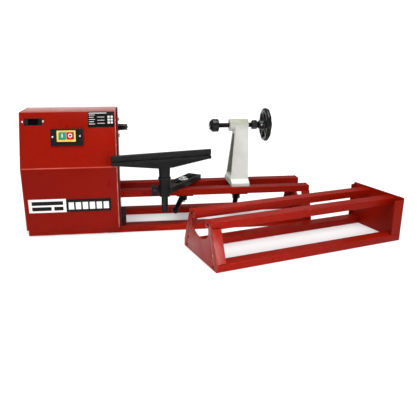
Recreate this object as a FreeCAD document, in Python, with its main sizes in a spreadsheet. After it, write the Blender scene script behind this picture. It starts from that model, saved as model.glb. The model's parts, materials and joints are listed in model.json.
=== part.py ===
"""Bench wood lathe with a separate bed extension, as a parametric assembly in millimetres.

X runs along the bed towards the tailstock, Y runs away from the operator, and Z is up.
The origin is on the bench surface, in the middle of the four bench bolts.
"""
import FreeCAD, Part
import math
import os
import re
import Sketcher

Vector = FreeCAD.Vector
Rotation = FreeCAD.Rotation
Placement = FreeCAD.Placement

# ---------------------------------------------------------------- driving sizes

SIZES = {
    # base and bed, shared by the lathe and its extension
    "base_length": 820.8,
    "base_outer_y": 97,
    "base_rail_wide": 35,
    "base_rail_high": 18,
    "base_wall": 2,
    "bed_rail_y": 47.9,
    "bed_rail_wide": 33,
    "bed_rail_high": 18.9,
    "bed_wall": 2.5,
    "bed_top": 112.6,
    "plate_thick": 3,
    "flange_wide": 22,
    "bench_bolt_x": 330,
    "bench_hole_radius": 4.5,
    "joint_hole_radius": 5,
    "low_hole_z": 8,
    "mid_hole_y": 70,
    "mid_hole_z": 33,
    # headstock casing
    "head_length": 252.7,
    "head_top": 340,
    "head_top_y": 67.2,
    "crease_y": 119.9,
    "crease_z": 196.8,
    "cover_low_y": 106.33,
    "cover_low_z": 18.6,
    "cover_sheet": 1.5,
    "end_step": 5,
    "end_flange": 22,
    "upper_tilt": 69.79,
    "lower_tilt": 94.355,
    "film_gap": 0.06,
    "tray_step": 19.3,
    "tray_y": 84,
    "tray_thick": 2.5,
    "web_x": 190,
    # spindle and drive
    "axis_z": 287.6,
    "motor_z": 112,
    "shaft_radius": 8.5,
    "nose_radius": 9,
    "bearing_radius": 20,
    "bearing_wide": 12,
    "bearing_bolt_z": 24,
    "housing_thick": 1.6,
    "race_gap": 0.03,
    "sliding_gap": 0.06,
    "pulley_start": 8,
    "step_pitch": 12,
    "step_big": 46,
    "step_drop": 7,
    "groove_wide": 10.6,
    "belt_wide": 6,
    "belt_high": 6,
    "motor_radius": 60,
    "motor_right": 62,
    "motor_length": 125,
    "rotor_radius": 35,
    "motor_shaft": 7,
    # tool rest
    "rest_bolt_x": 36.8,
    "post_x": -27.2,
    "post_y": -90,
    "post_radius": 9.5,
    "banjo_angle": 54.6,
    "banjo_end": 186.7,
    "banjo_wide": 44,
    "banjo_top": 128,
    "slot_wide": 13,
    "slot_start": 60,
    "slot_end": 168,
    "recess_wide": 31,
    "recess_deep": 3,
    "socket_top": 157,
    "socket_low": 102,
    "socket_radius": 15.5,
    "lock_z": 119,
    "rest_angle": 14,
    "rest_top": 230,
    "slide_gap": 0.2,
    # clamps under the bed
    "clamp_bolt_radius": 6,
    "clamp_long": 50,
    "clamp_wide": 90,
    "clamp_thick": 8,
    "washer_thick": 3,
    "lever_ball": 10,
    # tailstock
    "tail_x": 201.8,
    "tail_wide": 53,
    "tail_boss": 18,
    "taper_top": 14,
    "screw_radius": 7,
    "wheel_x": 284.3,
    "wheel_radius": 49.5,
    "rim_radius": 7.8,
    "case_left": 114.9,
    "case_length": 26.7,
    "case_radius": 19,
    # extension, lying beside the lathe
    "ext_x": 40,
    "ext_y": -308.8,
    "ext_turn": 15.47,
    "ext_length": 558.4,
    "ext_plate_wide": 193,
    "ext_plate_high": 120,
    "front_fold": 28,
    "back_fold": 10,
}

STEPS = 4            # speeds on each pulley
BELT_STEP = 1        # the belt's step, counted from the door
SPOKES = 5
DRIVE_SPURS = 4

doc = FreeCAD.newDocument("wood_lathe")
sheet = doc.addObject("Spreadsheet::Sheet", "Sheet")
for row, (alias, size) in enumerate(SIZES.items(), 1):
    sheet.set("A%d" % row, alias)
    sheet.set("B%d" % row, str(size))
    sheet.setAlias("B%d" % row, alias)
doc.recompute()

# positions worked out from the sheet, as expressions
HEAD_RIGHT = "(head_length - base_length / 2)"
HEAD_LEFT = "(0 - base_length / 2)"
RAIL_END = "(base_length / 2 - plate_thick)"
WEB = "(head_length - base_length / 2 - web_x)"
FACE = "(head_length - base_length / 2 + end_step)"
BED_LOW = "(bed_top - bed_rail_high)"
REST_LOW = "(bed_top + slide_gap)"

nodes = {}


def cells(text):
    """The expression with every alias written as a cell of the sheet."""
    return re.sub(r"[a-z][a-z_]+", lambda m: "Sheet." + m.group(0) if m.group(0) in SIZES else m.group(0), str(text))


def size_of(text):
    """The number that an expression comes to."""
    return float(sheet.evalExpression(cells(text)))


def bind(thing, path, text):
    thing.setExpression(path, cells(text))


def keep(thing, label):
    """Name a finished sub-part."""
    thing.Label = label
    nodes[label] = thing
    return thing


def place(thing, x=0, y=0, z=0, turn=None, angle=0):
    """Put a piece at (x, y, z), turned about an axis; sizes may be expressions."""
    if turn is not None:
        thing.Placement = Placement(Vector(), Rotation(Vector(*turn), size_of(angle)))
        bind(thing, "Placement.Rotation.Angle", angle)
    for axis, value in zip("xyz", (x, y, z)):
        bind(thing, "Placement.Base." + axis, value)
    return thing


# ---------------------------------------------------------------- ways of making a piece

def box(length, width, height, x, y, z):
    """A block whose low corner is at (x, y, z)."""
    piece = doc.addObject("Part::Box", "Block")
    bind(piece, "Length", length)
    bind(piece, "Width", width)
    bind(piece, "Height", height)
    return place(piece, x, y, z)


def rod(radius, height, x, y, z, along="z"):
    """A round bar that starts at (x, y, z) and runs along an axis."""
    piece = doc.addObject("Part::Cylinder", "Rod")
    bind(piece, "Radius", radius)
    bind(piece, "Height", height)
    turns = {"z": (None, 0), "x": ((0, 1, 0), 90), "y": ((1, 0, 0), -90)}
    turn, angle = turns[along]
    if turn:
        piece.Placement = Placement(Vector(), Rotation(Vector(*turn), angle))
    return place(piece, x, y, z)


def ball(radius, x, y, z):
    piece = doc.addObject("Part::Sphere", "Ball")
    bind(piece, "Radius", radius)
    return place(piece, x, y, z)


def fuse(*pieces):
    if len(pieces) == 1:
        return pieces[0]
    whole = doc.addObject("Part::MultiFuse", "Fused")
    whole.Shapes = list(pieces)
    return whole


def cut(base, *tools):
    whole = doc.addObject("Part::Cut", "Cut")
    whole.Base = base
    whole.Tool = tools[0] if len(tools) == 1 else fuse(*tools)
    return whole


def sketch_in(body, plane):
    sketch = body.newObject("Sketcher::SketchObject", "Outline")
    face = [f for f in body.Origin.OriginFeatures if f.Role == plane + "_Plane"][0]
    sketch.AttachmentSupport = (face, [""])
    sketch.MapMode = "FlatFace"
    return sketch


def hold(sketch, kind, geometry, point, text):
    """Fix a point's distance from the sketch's origin to an expression."""
    number = sketch.addConstraint(Sketcher.Constraint(kind, -1, 1, geometry, point, size_of(text)))
    bind(sketch, "Constraints[%d]" % number, text)


def draw_loop(sketch, points):
    """A closed outline of straight sides through (across, up) expressions."""
    first = sketch.GeometryCount
    count = len(points)
    spots = [Vector(size_of(p[0]), size_of(p[1]), 0) for p in points]
    for i in range(count):
        sketch.addGeometry(Part.LineSegment(spots[i], spots[(i + 1) % count]), False)
    for i in range(count):
        sketch.addConstraint(Sketcher.Constraint("Coincident", first + i, 2, first + (i + 1) % count, 1))
    for i, point in enumerate(points):
        hold(sketch, "DistanceX", first + i, 1, point[0])
        hold(sketch, "DistanceY", first + i, 1, point[1])


def draw_circle(sketch, across, up, radius):
    centre = Vector(size_of(across), size_of(up), 0)
    number = sketch.addGeometry(Part.Circle(centre, Vector(0, 0, 1), size_of(radius)), False)
    hold(sketch, "DistanceX", number, 3, across)
    hold(sketch, "DistanceY", number, 3, up)
    held = sketch.addConstraint(Sketcher.Constraint("Radius", number, size_of(radius)))
    bind(sketch, "Constraints[%d]" % held, radius)


def prism(plane, loops, length, circles=()):
    """A padded sketch: outer and inner loops, and round holes as (across, up, radius)."""
    body = doc.addObject("PartDesign::Body", "Body")
    sketch = sketch_in(body, plane)
    for loop in loops:
        draw_loop(sketch, loop)
    for circle in circles:
        draw_circle(sketch, *circle)
    pad = body.newObject("PartDesign::Pad", "Pad")
    pad.Profile = sketch
    bind(pad, "Length", length)
    return body


def turned(stations, bore=0):
    """A turned piece about X, from (along, radius) stations, with a plain bore."""
    body = doc.addObject("PartDesign::Body", "Body")
    sketch = sketch_in(body, "XY")
    loop = [(stations[0][0], bore)] + list(stations) + [(stations[-1][0], bore)]
    draw_loop(sketch, loop)
    spin = body.newObject("PartDesign::Revolution", "Revolution")
    spin.Profile = sketch
    spin.ReferenceAxis = (sketch, ["H_Axis"])
    spin.Angle = 360
    return body


def rectangle(low_x, low_y, high_x, high_y):
    return [(low_x, low_y), (high_x, low_y), (high_x, high_y), (low_x, high_y)]


# ---------------------------------------------------------------- bed, shared by lathe and extension

def base_rail(side, start, length):
    """A rectangular tube on the bench."""
    mid = "%d * (base_outer_y - base_rail_wide / 2)" % side
    outer = rectangle(mid + " - base_rail_wide / 2", 0, mid + " + base_rail_wide / 2", "base_rail_high")
    inner = rectangle(mid + " - base_rail_wide / 2 + base_wall", "base_wall",
                      mid + " + base_rail_wide / 2 - base_wall", "base_rail_high - base_wall")
    return place(prism("YZ", [outer, inner], length), start)


def bed_rail(side, start, length):
    """A rectangular tube that the tool rest and tailstock slide on."""
    mid = "%d * bed_rail_y" % side
    outer = rectangle(mid + " - bed_rail_wide / 2", BED_LOW, mid + " + bed_rail_wide / 2", "bed_top")
    inner = rectangle(mid + " - bed_rail_wide / 2 + bed_wall", BED_LOW + " + bed_wall",
                      mid + " + bed_rail_wide / 2 - bed_wall", "bed_top - bed_wall")
    return place(prism("YZ", [outer, inner], length), start)


EAR_OUT = "(bed_rail_y + bed_rail_wide / 2)"
EAR_IN = "(bed_rail_y - bed_rail_wide / 2)"
SHOULDER = 68        # half width where the slanted sides start, under the rails
NOTCH_SIDE = 49
NOTCH_LOW = 73
NOTCH_RADIUS = 75
NOTCH_CENTRE_Z = 129.8
NOTCH_ROOM_LOW = 30  # a level under the whole notch
FOLD_LOW = 20        # the folds start this high


def joint_outline():
    """A wide foot, slanted sides, two ears that close the rail ends, and the notch between them."""
    right = [("base_outer_y", 0), ("base_outer_y", FOLD_LOW), (SHOULDER, "bed_top - 15"), (EAR_OUT, "bed_top - 12"),
             (EAR_OUT, "bed_top"), (EAR_IN, "bed_top"), (EAR_IN, BED_LOW), (NOTCH_SIDE, BED_LOW),
             (NOTCH_SIDE, NOTCH_LOW)]
    left = [("0 - (%s)" % y, z) for y, z in reversed(right)]
    return right + left


def joint_plate(start, inward):
    """The bolted end plate of a bed, with flanges folded along its slanted sides."""
    holes = []
    for side in (-1, 1):
        holes.append(("%d * bed_rail_y" % side, "bed_top - bed_rail_high / 2", "joint_hole_radius"))
        holes.append(("%d * (base_outer_y - base_rail_wide / 2)" % side, "low_hole_z", "bench_hole_radius"))
        holes.append(("%d * mid_hole_y" % side, "mid_hole_z", "bench_hole_radius"))
    sheet_metal = place(prism("YZ", [joint_outline()], "plate_thick", holes), start)
    scoop = rod(NOTCH_RADIUS, "plate_thick + 2", "%s - 1" % start, 0, NOTCH_CENTRE_Z, "x")
    bounds = box("plate_thick + 4", 2 * NOTCH_SIDE, "%s - %d" % (BED_LOW, NOTCH_ROOM_LOW), "%s - 2" % start,
                 -NOTCH_SIDE, NOTCH_ROOM_LOW)
    dip = doc.addObject("Part::Common", "Dip")
    dip.Base = scoop
    dip.Tool = bounds
    folds = []
    low = start if inward < 0 else "%s + plate_thick" % start
    for side in (-1, 1):
        strip = [("%d * base_outer_y" % side, FOLD_LOW), ("%d * %d" % (side, SHOULDER), "bed_top - 15"),
                 ("%d * (%d - plate_thick)" % (side, SHOULDER), "bed_top - 16"),
                 ("%d * (base_outer_y - plate_thick)" % side, FOLD_LOW - 1)]
        fold = prism("YZ", [strip], "flange_wide")
        folds.append(place(fold, low if inward > 0 else "%s - flange_wide" % start))
    return fuse(cut(sheet_metal, dip), *folds)


def lathe_bed():
    for side, word in ((-1, "front"), (1, "back")):
        rail = base_rail(side, HEAD_LEFT, "base_length - plate_thick")
        bolts = []
        for end in (-1, 1):
            bolts.append(rod("bench_hole_radius", "base_rail_high + 2", "%d * bench_bolt_x" % end,
                             "%d * (base_outer_y - base_rail_wide / 2)" % side, -1))
        keep(cut(rail, *bolts), "base_rail_" + word)
        keep(bed_rail(side, FACE, "%s - %s" % (RAIL_END, FACE)), "bed_rail_" + word)
    keep(joint_plate(RAIL_END, -1), "joint_plate")
    plugs = []
    for side in (-1, 1):
        low_y = "%d * (base_outer_y - base_rail_wide / 2) - base_rail_wide / 2 + base_wall" % side
        plugs.append(box(10, "base_rail_wide - 2 * base_wall", "base_rail_high - 2 * base_wall",
                         HEAD_LEFT, low_y, "base_wall"))
    keep(fuse(*plugs), "base_rail_plugs")


def extension_bed():
    """The extension is built along X from its own left end, then turned and put down beside the lathe."""
    rail_length = "ext_length - 2 * plate_thick"
    parts = []
    for side, word in ((-1, "front"), (1, "back")):
        parts.append((base_rail(side, "plate_thick", rail_length), "ext_base_rail_" + word))
        parts.append((bed_rail(side, "plate_thick", rail_length), "ext_bed_rail_" + word))
    parts.append((joint_plate("0", 1), "ext_joint_plate"))
    parts.append((extension_end(), "ext_end_plate"))
    for piece, label in parts:
        wrapper = fuse_turned(piece)
        keep(wrapper, label)


def extension_end():
    """An end plate with cut top corners, and a fold down each side that is wider at the front."""
    corner = 3
    half = "ext_plate_wide / 2"
    outline = [("0 - " + half, 0), (half, 0), (half, "ext_plate_high - %d" % corner),
               (half + " - %d" % corner, "ext_plate_high"), ("0 - %s + %d" % (half, corner), "ext_plate_high"),
               ("0 - " + half, "ext_plate_high - %d" % corner)]
    plate = place(prism("YZ", [outline], "plate_thick"), "ext_length - plate_thick")
    folds = []
    for side, wide in ((-1, "front_fold"), (1, "back_fold")):
        inner = "%d * (ext_plate_wide - plate_thick) / 2 - plate_thick / 2" % side
        folds.append(box(wide, "plate_thick", "ext_plate_high - base_rail_high - 2 * %d - 0.3" % corner,
                         "ext_length - plate_thick - " + wide, inner, "base_rail_high + 0.3"))
    return fuse(plate, *folds)


def fuse_turned(piece):
    """A copy of the piece that follows it, turned with the whole extension."""
    copy = doc.addObject("Part::Compound", "Turned")
    copy.Links = [piece]
    return place(copy, "ext_x", "ext_y", 0, (0, 0, 1), "ext_turn")


# ---------------------------------------------------------------- headstock casing

def casing_outline(inset, low_z="cover_low_z"):
    """The six-sided headstock section, moved inwards by a distance."""
    right = [("cover_low_y - %s" % inset, low_z), ("crease_y - %s" % inset, "crease_z"),
             ("head_top_y - %s * 0.7" % inset, "head_top - %s" % inset)]
    left = [("0 - (%s)" % y, z) for y, z in reversed(right)]
    return right + left


def tilted(piece, face):
    """Put a piece on the leaning front: its own X runs along the bed, Y up the panel and Z out of it."""
    if face == "upper":
        return place(piece, HEAD_RIGHT, "0 - head_top_y - film_gap", "head_top", (1, 0, 0), "upper_tilt")
    return place(piece, HEAD_RIGHT, "0 - crease_y - film_gap", "crease_z", (1, 0, 0), "lower_tilt")


INLET = (-242, -36, -195, -16)
SWITCH = (-173.5, -92, -88, -46)
BEZEL = (-157, -82, -107.5, -52)
BUTTONS = {"start_button": (-152, -76, -133.5, -56.6), "stop_button": (-131, -76, -112.5, -56.6)}
BUTTON_GAP = 0.3
# two screws beside the inlet, and two on the switch plate, which stands 4 proud
SCREWS = ((-246.8, -25.8, 0), (-192.6, -25.1, 0), (-168.4, -68.6, 4), (-96.5, -67.4, 4))


def panel_box(area, low, high, face="upper", grow=0.0):
    """A block on the panel, over an area, between two heights above the sheet."""
    x0, y0, x1, y1 = area
    body = prism("XY", [rectangle(x0 - grow, y0 - grow, x1 + grow, y1 + grow)], high - low)
    body.Tip.Profile[0].AttachmentOffset = Placement(Vector(0, 0, low), Rotation())
    return tilted(body, face)


TRAY_BACK = 4        # the tray's shelf stops this far inside the casing's ends
LIP_Y = 99
LIP_HIGH = 22
END_SHEET = 2.5
PAN_INSET = 1.8      # clear of the casing's own sheet


def headstock_casing():
    right = [("cover_low_y", "cover_low_z"), ("crease_y", "crease_z"), ("head_top_y", "head_top")]
    inner = [("cover_low_y - cover_sheet", "cover_low_z"), ("crease_y - cover_sheet", "crease_z"),
             ("head_top_y - 0.7 * cover_sheet", "head_top - cover_sheet")]
    loop = right + [("0 - (%s)" % y, z) for y, z in reversed(right)]
    loop += [("0 - (%s)" % y, z) for y, z in inner]
    loop += [(y, z) for y, z in reversed(inner)]
    sheet_metal = place(prism("YZ", [loop], "head_length"), HEAD_LEFT)
    windows = [panel_box(INLET, -6, 6), panel_box(BEZEL, -6, 6, grow=-1.0)]
    keep(cut(sheet_metal, *windows), "headstock_cover")

    pan = place(prism("YZ", [casing_outline(PAN_INSET, "base_rail_high + tray_thick")], "end_step + end_flange"),
                HEAD_RIGHT + " - end_flange")
    hollow = place(prism("YZ", [casing_outline(PAN_INSET + END_SHEET, "base_rail_high + tray_thick + %s" % END_SHEET)],
                         "end_step + end_flange - %s" % END_SHEET), HEAD_RIGHT + " - end_flange")
    hole = rod(12, 10, FACE + " - 6", 0, "axis_z", "x")
    bolts = [rod(2.6, 10, FACE + " - 6", 0, "axis_z + %d * bearing_bolt_z" % side, "x") for side in (-1, 1)]
    keep(cut(pan, hollow, hole, *bolts), "headstock_end_plate")

    web = place(prism("YZ", [casing_outline(PAN_INSET, "base_rail_high + tray_thick")], "plate_thick",
                      [(0, "axis_z", 12), (0, "motor_z", 14)]), WEB)
    slots = [box("plate_thick + 2", "tray_thick + 1", LIP_HIGH + 0.5, WEB + " - 1",
                 "%d * (%d - tray_thick / 2) - tray_thick / 2 - 0.5" % (side, LIP_Y), "base_rail_high")
             for side in (-1, 1)]
    keep(cut(web, *slots), "bearing_web")

    floor = box("head_length + tray_step", "2 * tray_y", "tray_thick", HEAD_LEFT, "0 - tray_y", "base_rail_high")
    shelf = box("head_length - end_flange - %d" % (2 * TRAY_BACK), "2 * %d" % LIP_Y, "tray_thick",
                "%s + %d" % (HEAD_LEFT, TRAY_BACK), -LIP_Y, "base_rail_high")
    lips = []
    for side in (-1, 1):
        lips.append(box("head_length - end_flange - %d" % (2 * TRAY_BACK), "tray_thick", LIP_HIGH,
                        "%s + %d" % (HEAD_LEFT, TRAY_BACK), "%d * (%d - tray_thick / 2) - tray_thick / 2" % (side, LIP_Y),
                        "base_rail_high"))
    keep(fuse(floor, shelf, *lips), "headstock_tray")


# ---------------------------------------------------------------- belt door on the left end

HINGE_X = -7         # hinge pin, from the casing's left edge
HINGE_Y = 126.5
HINGE_RADIUS = 4.5
HINGE_LOW = 60
HINGE_HIGH = 180
KNUCKLE = 28
DOOR_GAP = 0.3
DOOR_THICK = 2.5
LATCH_Y = -88
LATCH_Z = 120


def belt_door():
    door_x = HEAD_LEFT + " - %s" % (DOOR_GAP + DOOR_THICK)
    slots = []
    for i in range(6):
        slots.append(rectangle(-30, 60 + 12 * i, 30, 65 + 12 * i))
    leaf = place(prism("YZ", [casing_outline(0, "cover_low_z")] + slots, DOOR_THICK,
                       [(LATCH_Y, LATCH_Z, 4.2)]), door_x)
    tab = box(DOOR_THICK, HINGE_Y - 100, HINGE_HIGH - HINGE_LOW - 2 * KNUCKLE - 1, door_x, 100,
              HINGE_LOW + KNUCKLE + 0.5)
    knuckle = rod(HINGE_RADIUS, HINGE_HIGH - HINGE_LOW - 2 * KNUCKLE - 1, HEAD_LEFT + " + %s" % HINGE_X,
                  HINGE_Y, HINGE_LOW + KNUCKLE + 0.5)
    bore = rod(2.05, HINGE_HIGH, HEAD_LEFT + " + %s" % HINGE_X, HINGE_Y, HINGE_LOW - 10)
    keep(cut(fuse(leaf, tab, knuckle), bore), "belt_door")

    fixed = []
    for low in (HINGE_LOW, HINGE_HIGH - KNUCKLE):
        ring = rod(HINGE_RADIUS, KNUCKLE, HEAD_LEFT + " + %s" % HINGE_X, HINGE_Y, low)
        arm = box(26, 3, KNUCKLE, HEAD_LEFT + " + %s" % HINGE_X, HINGE_Y + 1.5, low)
        wedge = box(16, 24, KNUCKLE, HEAD_LEFT + " + 1", HINGE_Y + 1.5 - 24, low)
        fixed += [ring, arm, wedge]
    solid = fuse(*fixed)
    section = place(prism("YZ", [casing_outline(0)], 60), HEAD_LEFT + " - 1")
    pin = rod(2, HINGE_HIGH - HINGE_LOW + 4, HEAD_LEFT + " + %s" % HINGE_X, HINGE_Y, HINGE_LOW - 2)
    keep(fuse(cut(solid, section), pin), "door_hinge")

    head = turned([(-2.8, 9.5), (-2, 11), (0, 11)])
    slot = box(1.6, 2.2, 15, -3.4, -1.1, -7.5)
    stem = turned([(-0.5, 4.1), (DOOR_THICK + 0.8, 4.1)])
    tongue = box(2.5, 9, 26, DOOR_THICK + 0.8, -4.5, -4.5)
    whole = fuse(cut(head, slot), stem, tongue)
    keep(place(whole, door_x + " - 0.3", LATCH_Y, LATCH_Z), "door_latch")


# ---------------------------------------------------------------- switch, inlet, labels

def front_controls():
    plate = panel_box(SWITCH, 0, 4)
    window = panel_box(BEZEL, -2, 8, grow=0.1)
    keep(cut(plate, window), "switch_plate")
    frame = panel_box(BEZEL, 0, 7)
    holes = [panel_box(area, -2, 9, grow=BUTTON_GAP) for area in BUTTONS.values()]
    keep(cut(frame, *holes), "switch_bezel")
    body = panel_box(BEZEL, -32, 0, grow=-2)
    well = panel_box(BEZEL, -9, 1, grow=-3.5)
    keep(cut(body, well), "switch_body")
    for label, area in BUTTONS.items():
        key = panel_box(area, -3, 8.5)
        stem = panel_box(stem_area(area), -5, -3)
        keep(fuse(key, stem), label)

    insert = panel_box(INLET, -20, -0.5, grow=-0.3)
    flange = panel_box(INLET, -5, -1.6, grow=4)
    socket = panel_box((-232, -34, -205, -18), -16, 3)
    pins = [panel_box((x - 1, y - 2, x + 1, y + 2), -17, -8) for x, y in ((-225.5, -28), (-218.5, -24), (-211.5, -28))]
    keep(fuse(cut(fuse(insert, flange), socket), *pins), "power_inlet")

    keep(fuse(*[panel_screw(*spot) for spot in SCREWS]), "panel_screws")

    keep(panel_box((-74, -43, -4, -0.8), 0, 0.5), "label_upper")
    keep(panel_box((-243.5, -126, -143.2, -87), 0, 0.5, "lower"), "label_light")
    keep(panel_box((-142.8, -126.5, -20, -88.5), 0, 0.5, "lower"), "label_dark")


def stem_area(area):
    x0, y0, x1, y1 = area
    return ((x0 + x1) / 2 - 3, (y0 + y1) / 2 - 3, (x0 + x1) / 2 + 3, (y0 + y1) / 2 + 3)


def panel_screw(x, y, lift):
    """A low domed head on the upper panel."""
    body = doc.addObject("PartDesign::Body", "Body")
    sketch = sketch_in(body, "XZ")
    draw_loop(sketch, [(0, 0), (2.7, 0), (2.4, 1.1), (1.4, 1.9), (0, 2.1)])
    spin = body.newObject("PartDesign::Revolution", "Revolution")
    spin.Profile = sketch
    spin.ReferenceAxis = (sketch, ["V_Axis"])
    spin.Angle = 360
    body.Placement = Placement(Vector(x, y, lift), Rotation())
    holder = doc.addObject("Part::Compound", "Screw")
    holder.Links = [body]
    return tilted(holder, "upper")


# ---------------------------------------------------------------- spindle and drive

def groove_stations(start, radii):
    """Stations of a stepped pulley: one V groove in each step."""
    half_top = size_of("groove_wide") / 2
    half_low = 2.6
    stations = []
    for i, radius in enumerate(radii):
        low = start + i * size_of("step_pitch")
        mid = low + size_of("step_pitch") / 2
        stations += [(low, radius), (mid - half_top, radius), (mid - half_low, radius - 7.5),
                     (mid + half_low, radius - 7.5), (mid + half_top, radius),
                     (low + size_of("step_pitch"), radius)]
    return stations


def step_radii():
    return [size_of("step_big - %d * step_drop" % i) for i in range(STEPS)]


def spindle_parts():
    shoulder = "shaft_radius + 1.5"
    rear = "3 + housing_thick - web_x"
    front = "end_step - %s - housing_thick - bearing_wide" % END_SHEET
    profile = [(-240, 8), (rear, 8), (rear, "shaft_radius"), (rear + " + bearing_wide + race_gap", "shaft_radius"),
               (rear + " + bearing_wide + race_gap", shoulder), (front + " - race_gap", shoulder),
               (front + " - race_gap", "shaft_radius"), (front + " + bearing_wide + race_gap", "shaft_radius"),
               (front + " + bearing_wide + race_gap", shoulder), (9, shoulder), (9, "nose_radius"),
               (20, "nose_radius")]
    keep(place(turned(profile), HEAD_RIGHT, 0, "axis_z"), "spindle")

    core = turned([(20, 8.5), (27, 8.5), (29.5, 4), (29.5, 2.2), (35, 0.3)])
    spurs = []
    for i in range(DRIVE_SPURS):
        spur = prism("XY", [[(26.9, 2.4), (26.9, 8.4), (32.5, 8.4), (30.5, 2.4)]], 1.6)
        spurs.append(place(spur, 0, 0, 0, (1, 0, 0), 360 / DRIVE_SPURS * i))
    keep(place(fuse(core, *spurs), HEAD_RIGHT, 0, "axis_z"), "spur_centre")

    big = step_radii()
    low_x = size_of(HEAD_LEFT + " + pulley_start")
    keep(place(turned(groove_stations(low_x, big), 8.02), 0, 0, "axis_z"), "spindle_pulley")
    keep(place(turned(groove_stations(low_x, big[::-1]), 7.02), 0, 0, "motor_z"), "motor_pulley")

    for label, at in (("front", HEAD_RIGHT + " + " + front), ("rear", HEAD_RIGHT + " + " + rear)):
        race = turned([(0, 13), (0.6, 13), (0.6, 17), (0, 17), (0, "bearing_radius"),
                       ("bearing_wide", "bearing_radius"), ("bearing_wide", 17), ("bearing_wide - 0.6", 17),
                       ("bearing_wide - 0.6", 13), ("bearing_wide", 13)], "shaft_radius + race_gap")
        keep(place(race, at, 0, "axis_z"), "bearing_" + label)
    bearing_housing("bearing_housing_front", HEAD_RIGHT + " + %s + bearing_wide" % front, -1)
    bearing_housing("bearing_housing_rear", HEAD_RIGHT + " + " + rear, 1)

    heads = []
    for side in (-1, 1):
        head = turned([(0, 5.6), (3.4, 5.6), (4.8, 4.2)])
        shank = turned([(-9, 2.5), (0, 2.5)])
        heads.append(place(fuse(head, shank), FACE, 0, "axis_z + %d * bearing_bolt_z" % side))
    keep(fuse(*heads), "bearing_bolts")


def bearing_housing(label, at, way):
    """A pressed flange that holds a bearing against its plate; way is the side its cup stands out."""
    def ring(low, high, radius, bore):
        ends = sorted((way * low, way * high))
        return turned([(ends[0], radius), (ends[1], radius)], bore)

    thick, wide = size_of("housing_thick"), size_of("bearing_wide")
    bore = size_of("bearing_radius") + 0.02
    outer = bore + thick
    flange = ring(-thick, 0, 31, outer - 0.05)
    barrel = ring(-thick, wide + thick, outer, bore)
    lip = ring(wide, wide + thick, outer, 12)
    bolts = [rod(2.6, 8, -4, 0, "%d * bearing_bolt_z" % side, "x") for side in (-1, 1)]
    keep(place(cut(fuse(flange, barrel, lip), *bolts), at, 0, "axis_z"), label)


def drive_belt():
    """A V-belt round one step of each pulley: a straight-sided loop of flat section."""
    x_mid = size_of(HEAD_LEFT + " + pulley_start + %s * step_pitch" % (BELT_STEP + 0.5))
    radii = step_radii()
    top_radius = radii[BELT_STEP]
    low_radius = radii[::-1][BELT_STEP]
    reach = size_of("axis_z - motor_z")
    lean = math.asin((top_radius - low_radius) / reach)

    def loop(grow):
        top, low = top_radius + grow, low_radius + grow
        top_z, low_z = size_of("axis_z"), size_of("motor_z")
        cos, sin = math.cos(lean), math.sin(lean)
        t_left = Vector(0, -top * cos, top_z - top * sin)
        t_right = Vector(0, top * cos, top_z - top * sin)
        l_left = Vector(0, -low * cos, low_z - low * sin)
        l_right = Vector(0, low * cos, low_z - low * sin)
        edges = [Part.Arc(t_left, Vector(0, 0, top_z + top), t_right).toShape(),
                 Part.LineSegment(t_right, l_right).toShape(),
                 Part.Arc(l_right, Vector(0, 0, low_z - low), l_left).toShape(),
                 Part.LineSegment(l_left, t_left).toShape()]
        return Part.Face(Part.Wire(edges))

    ring = loop(0.6).cut(loop(0.6 - size_of("belt_high")))
    belt = doc.addObject("Part::Feature", "Belt")
    belt.Shape = ring.extrude(Vector(size_of("belt_wide"), 0, 0))
    belt.Placement = Placement(Vector(x_mid - size_of("belt_wide") / 2, 0, 0), Rotation())
    keep(belt, "drive_belt")


MOTOR_X = WEB + " + 12"


def motor_parts():
    wall = 5
    shell = turned([(0, 30), (3, "motor_radius - 4"), (8, "motor_radius"), ("motor_length - 8", "motor_radius"),
                    ("motor_length - 3", "motor_radius - 4"), ("motor_length", 30)])
    room = turned([(wall, "motor_radius - 6"), (30, "motor_radius - 6"), (30, "rotor_radius + 0.6"),
                   ("motor_length - 30", "rotor_radius + 0.6"), ("motor_length - 30", "motor_radius - 6"),
                   ("motor_length - %d" % wall, "motor_radius - 6")])
    bore = turned([(-2, 7.4), ("motor_length - 3", 7.4)])
    keep(place(cut(shell, room, bore), MOTOR_X, 0, "motor_z"), "motor_housing")
    rotor = [(-72, 7), (22, 7), (22, 12), (28, 12), (28, "rotor_radius"), ("motor_length - 28", "rotor_radius"),
             ("motor_length - 28", 12), ("motor_length - 22", 12), ("motor_length - 22", 7), ("motor_length - 5", 7)]
    keep(place(turned(rotor), MOTOR_X, 0, "motor_z"), "motor_rotor")

    floor = "base_rail_high + tray_thick"
    foot = box("motor_length - 20", 110, 4, MOTOR_X + " + 10", -55, floor)
    cheeks = []
    for offset in ("18", "motor_length - 24"):
        cheeks.append(box(6, 96, "motor_z - base_rail_high - tray_thick - 20", MOTOR_X + " + " + offset, -48, floor))
    seat = rod("motor_radius + 0.05", "motor_length + 20", MOTOR_X + " - 10", 0, "motor_z", "x")
    keep(cut(fuse(foot, *cheeks), seat), "motor_bracket")
    keep(rod(17, 78, MOTOR_X + " + 20", -78, floor + " + 17.05", "x"), "motor_capacitor")


# ---------------------------------------------------------------- tool rest and its holder

def along_bar(piece, z=0):
    """Turn a piece drawn along X so that it runs from the post towards the back."""
    return place(piece, "post_x", "post_y", z, (0, 0, 1), "banjo_angle")


def slot_shape(low, high, half, height):
    """A round-ended slot along X."""
    return fuse(box("%s - (%s)" % (high, low), "2 * (%s)" % half, height, low, "0 - (%s)" % half, 0),
                rod(half, height, low, 0, 0), rod(half, height, high, 0, 0))


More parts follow.
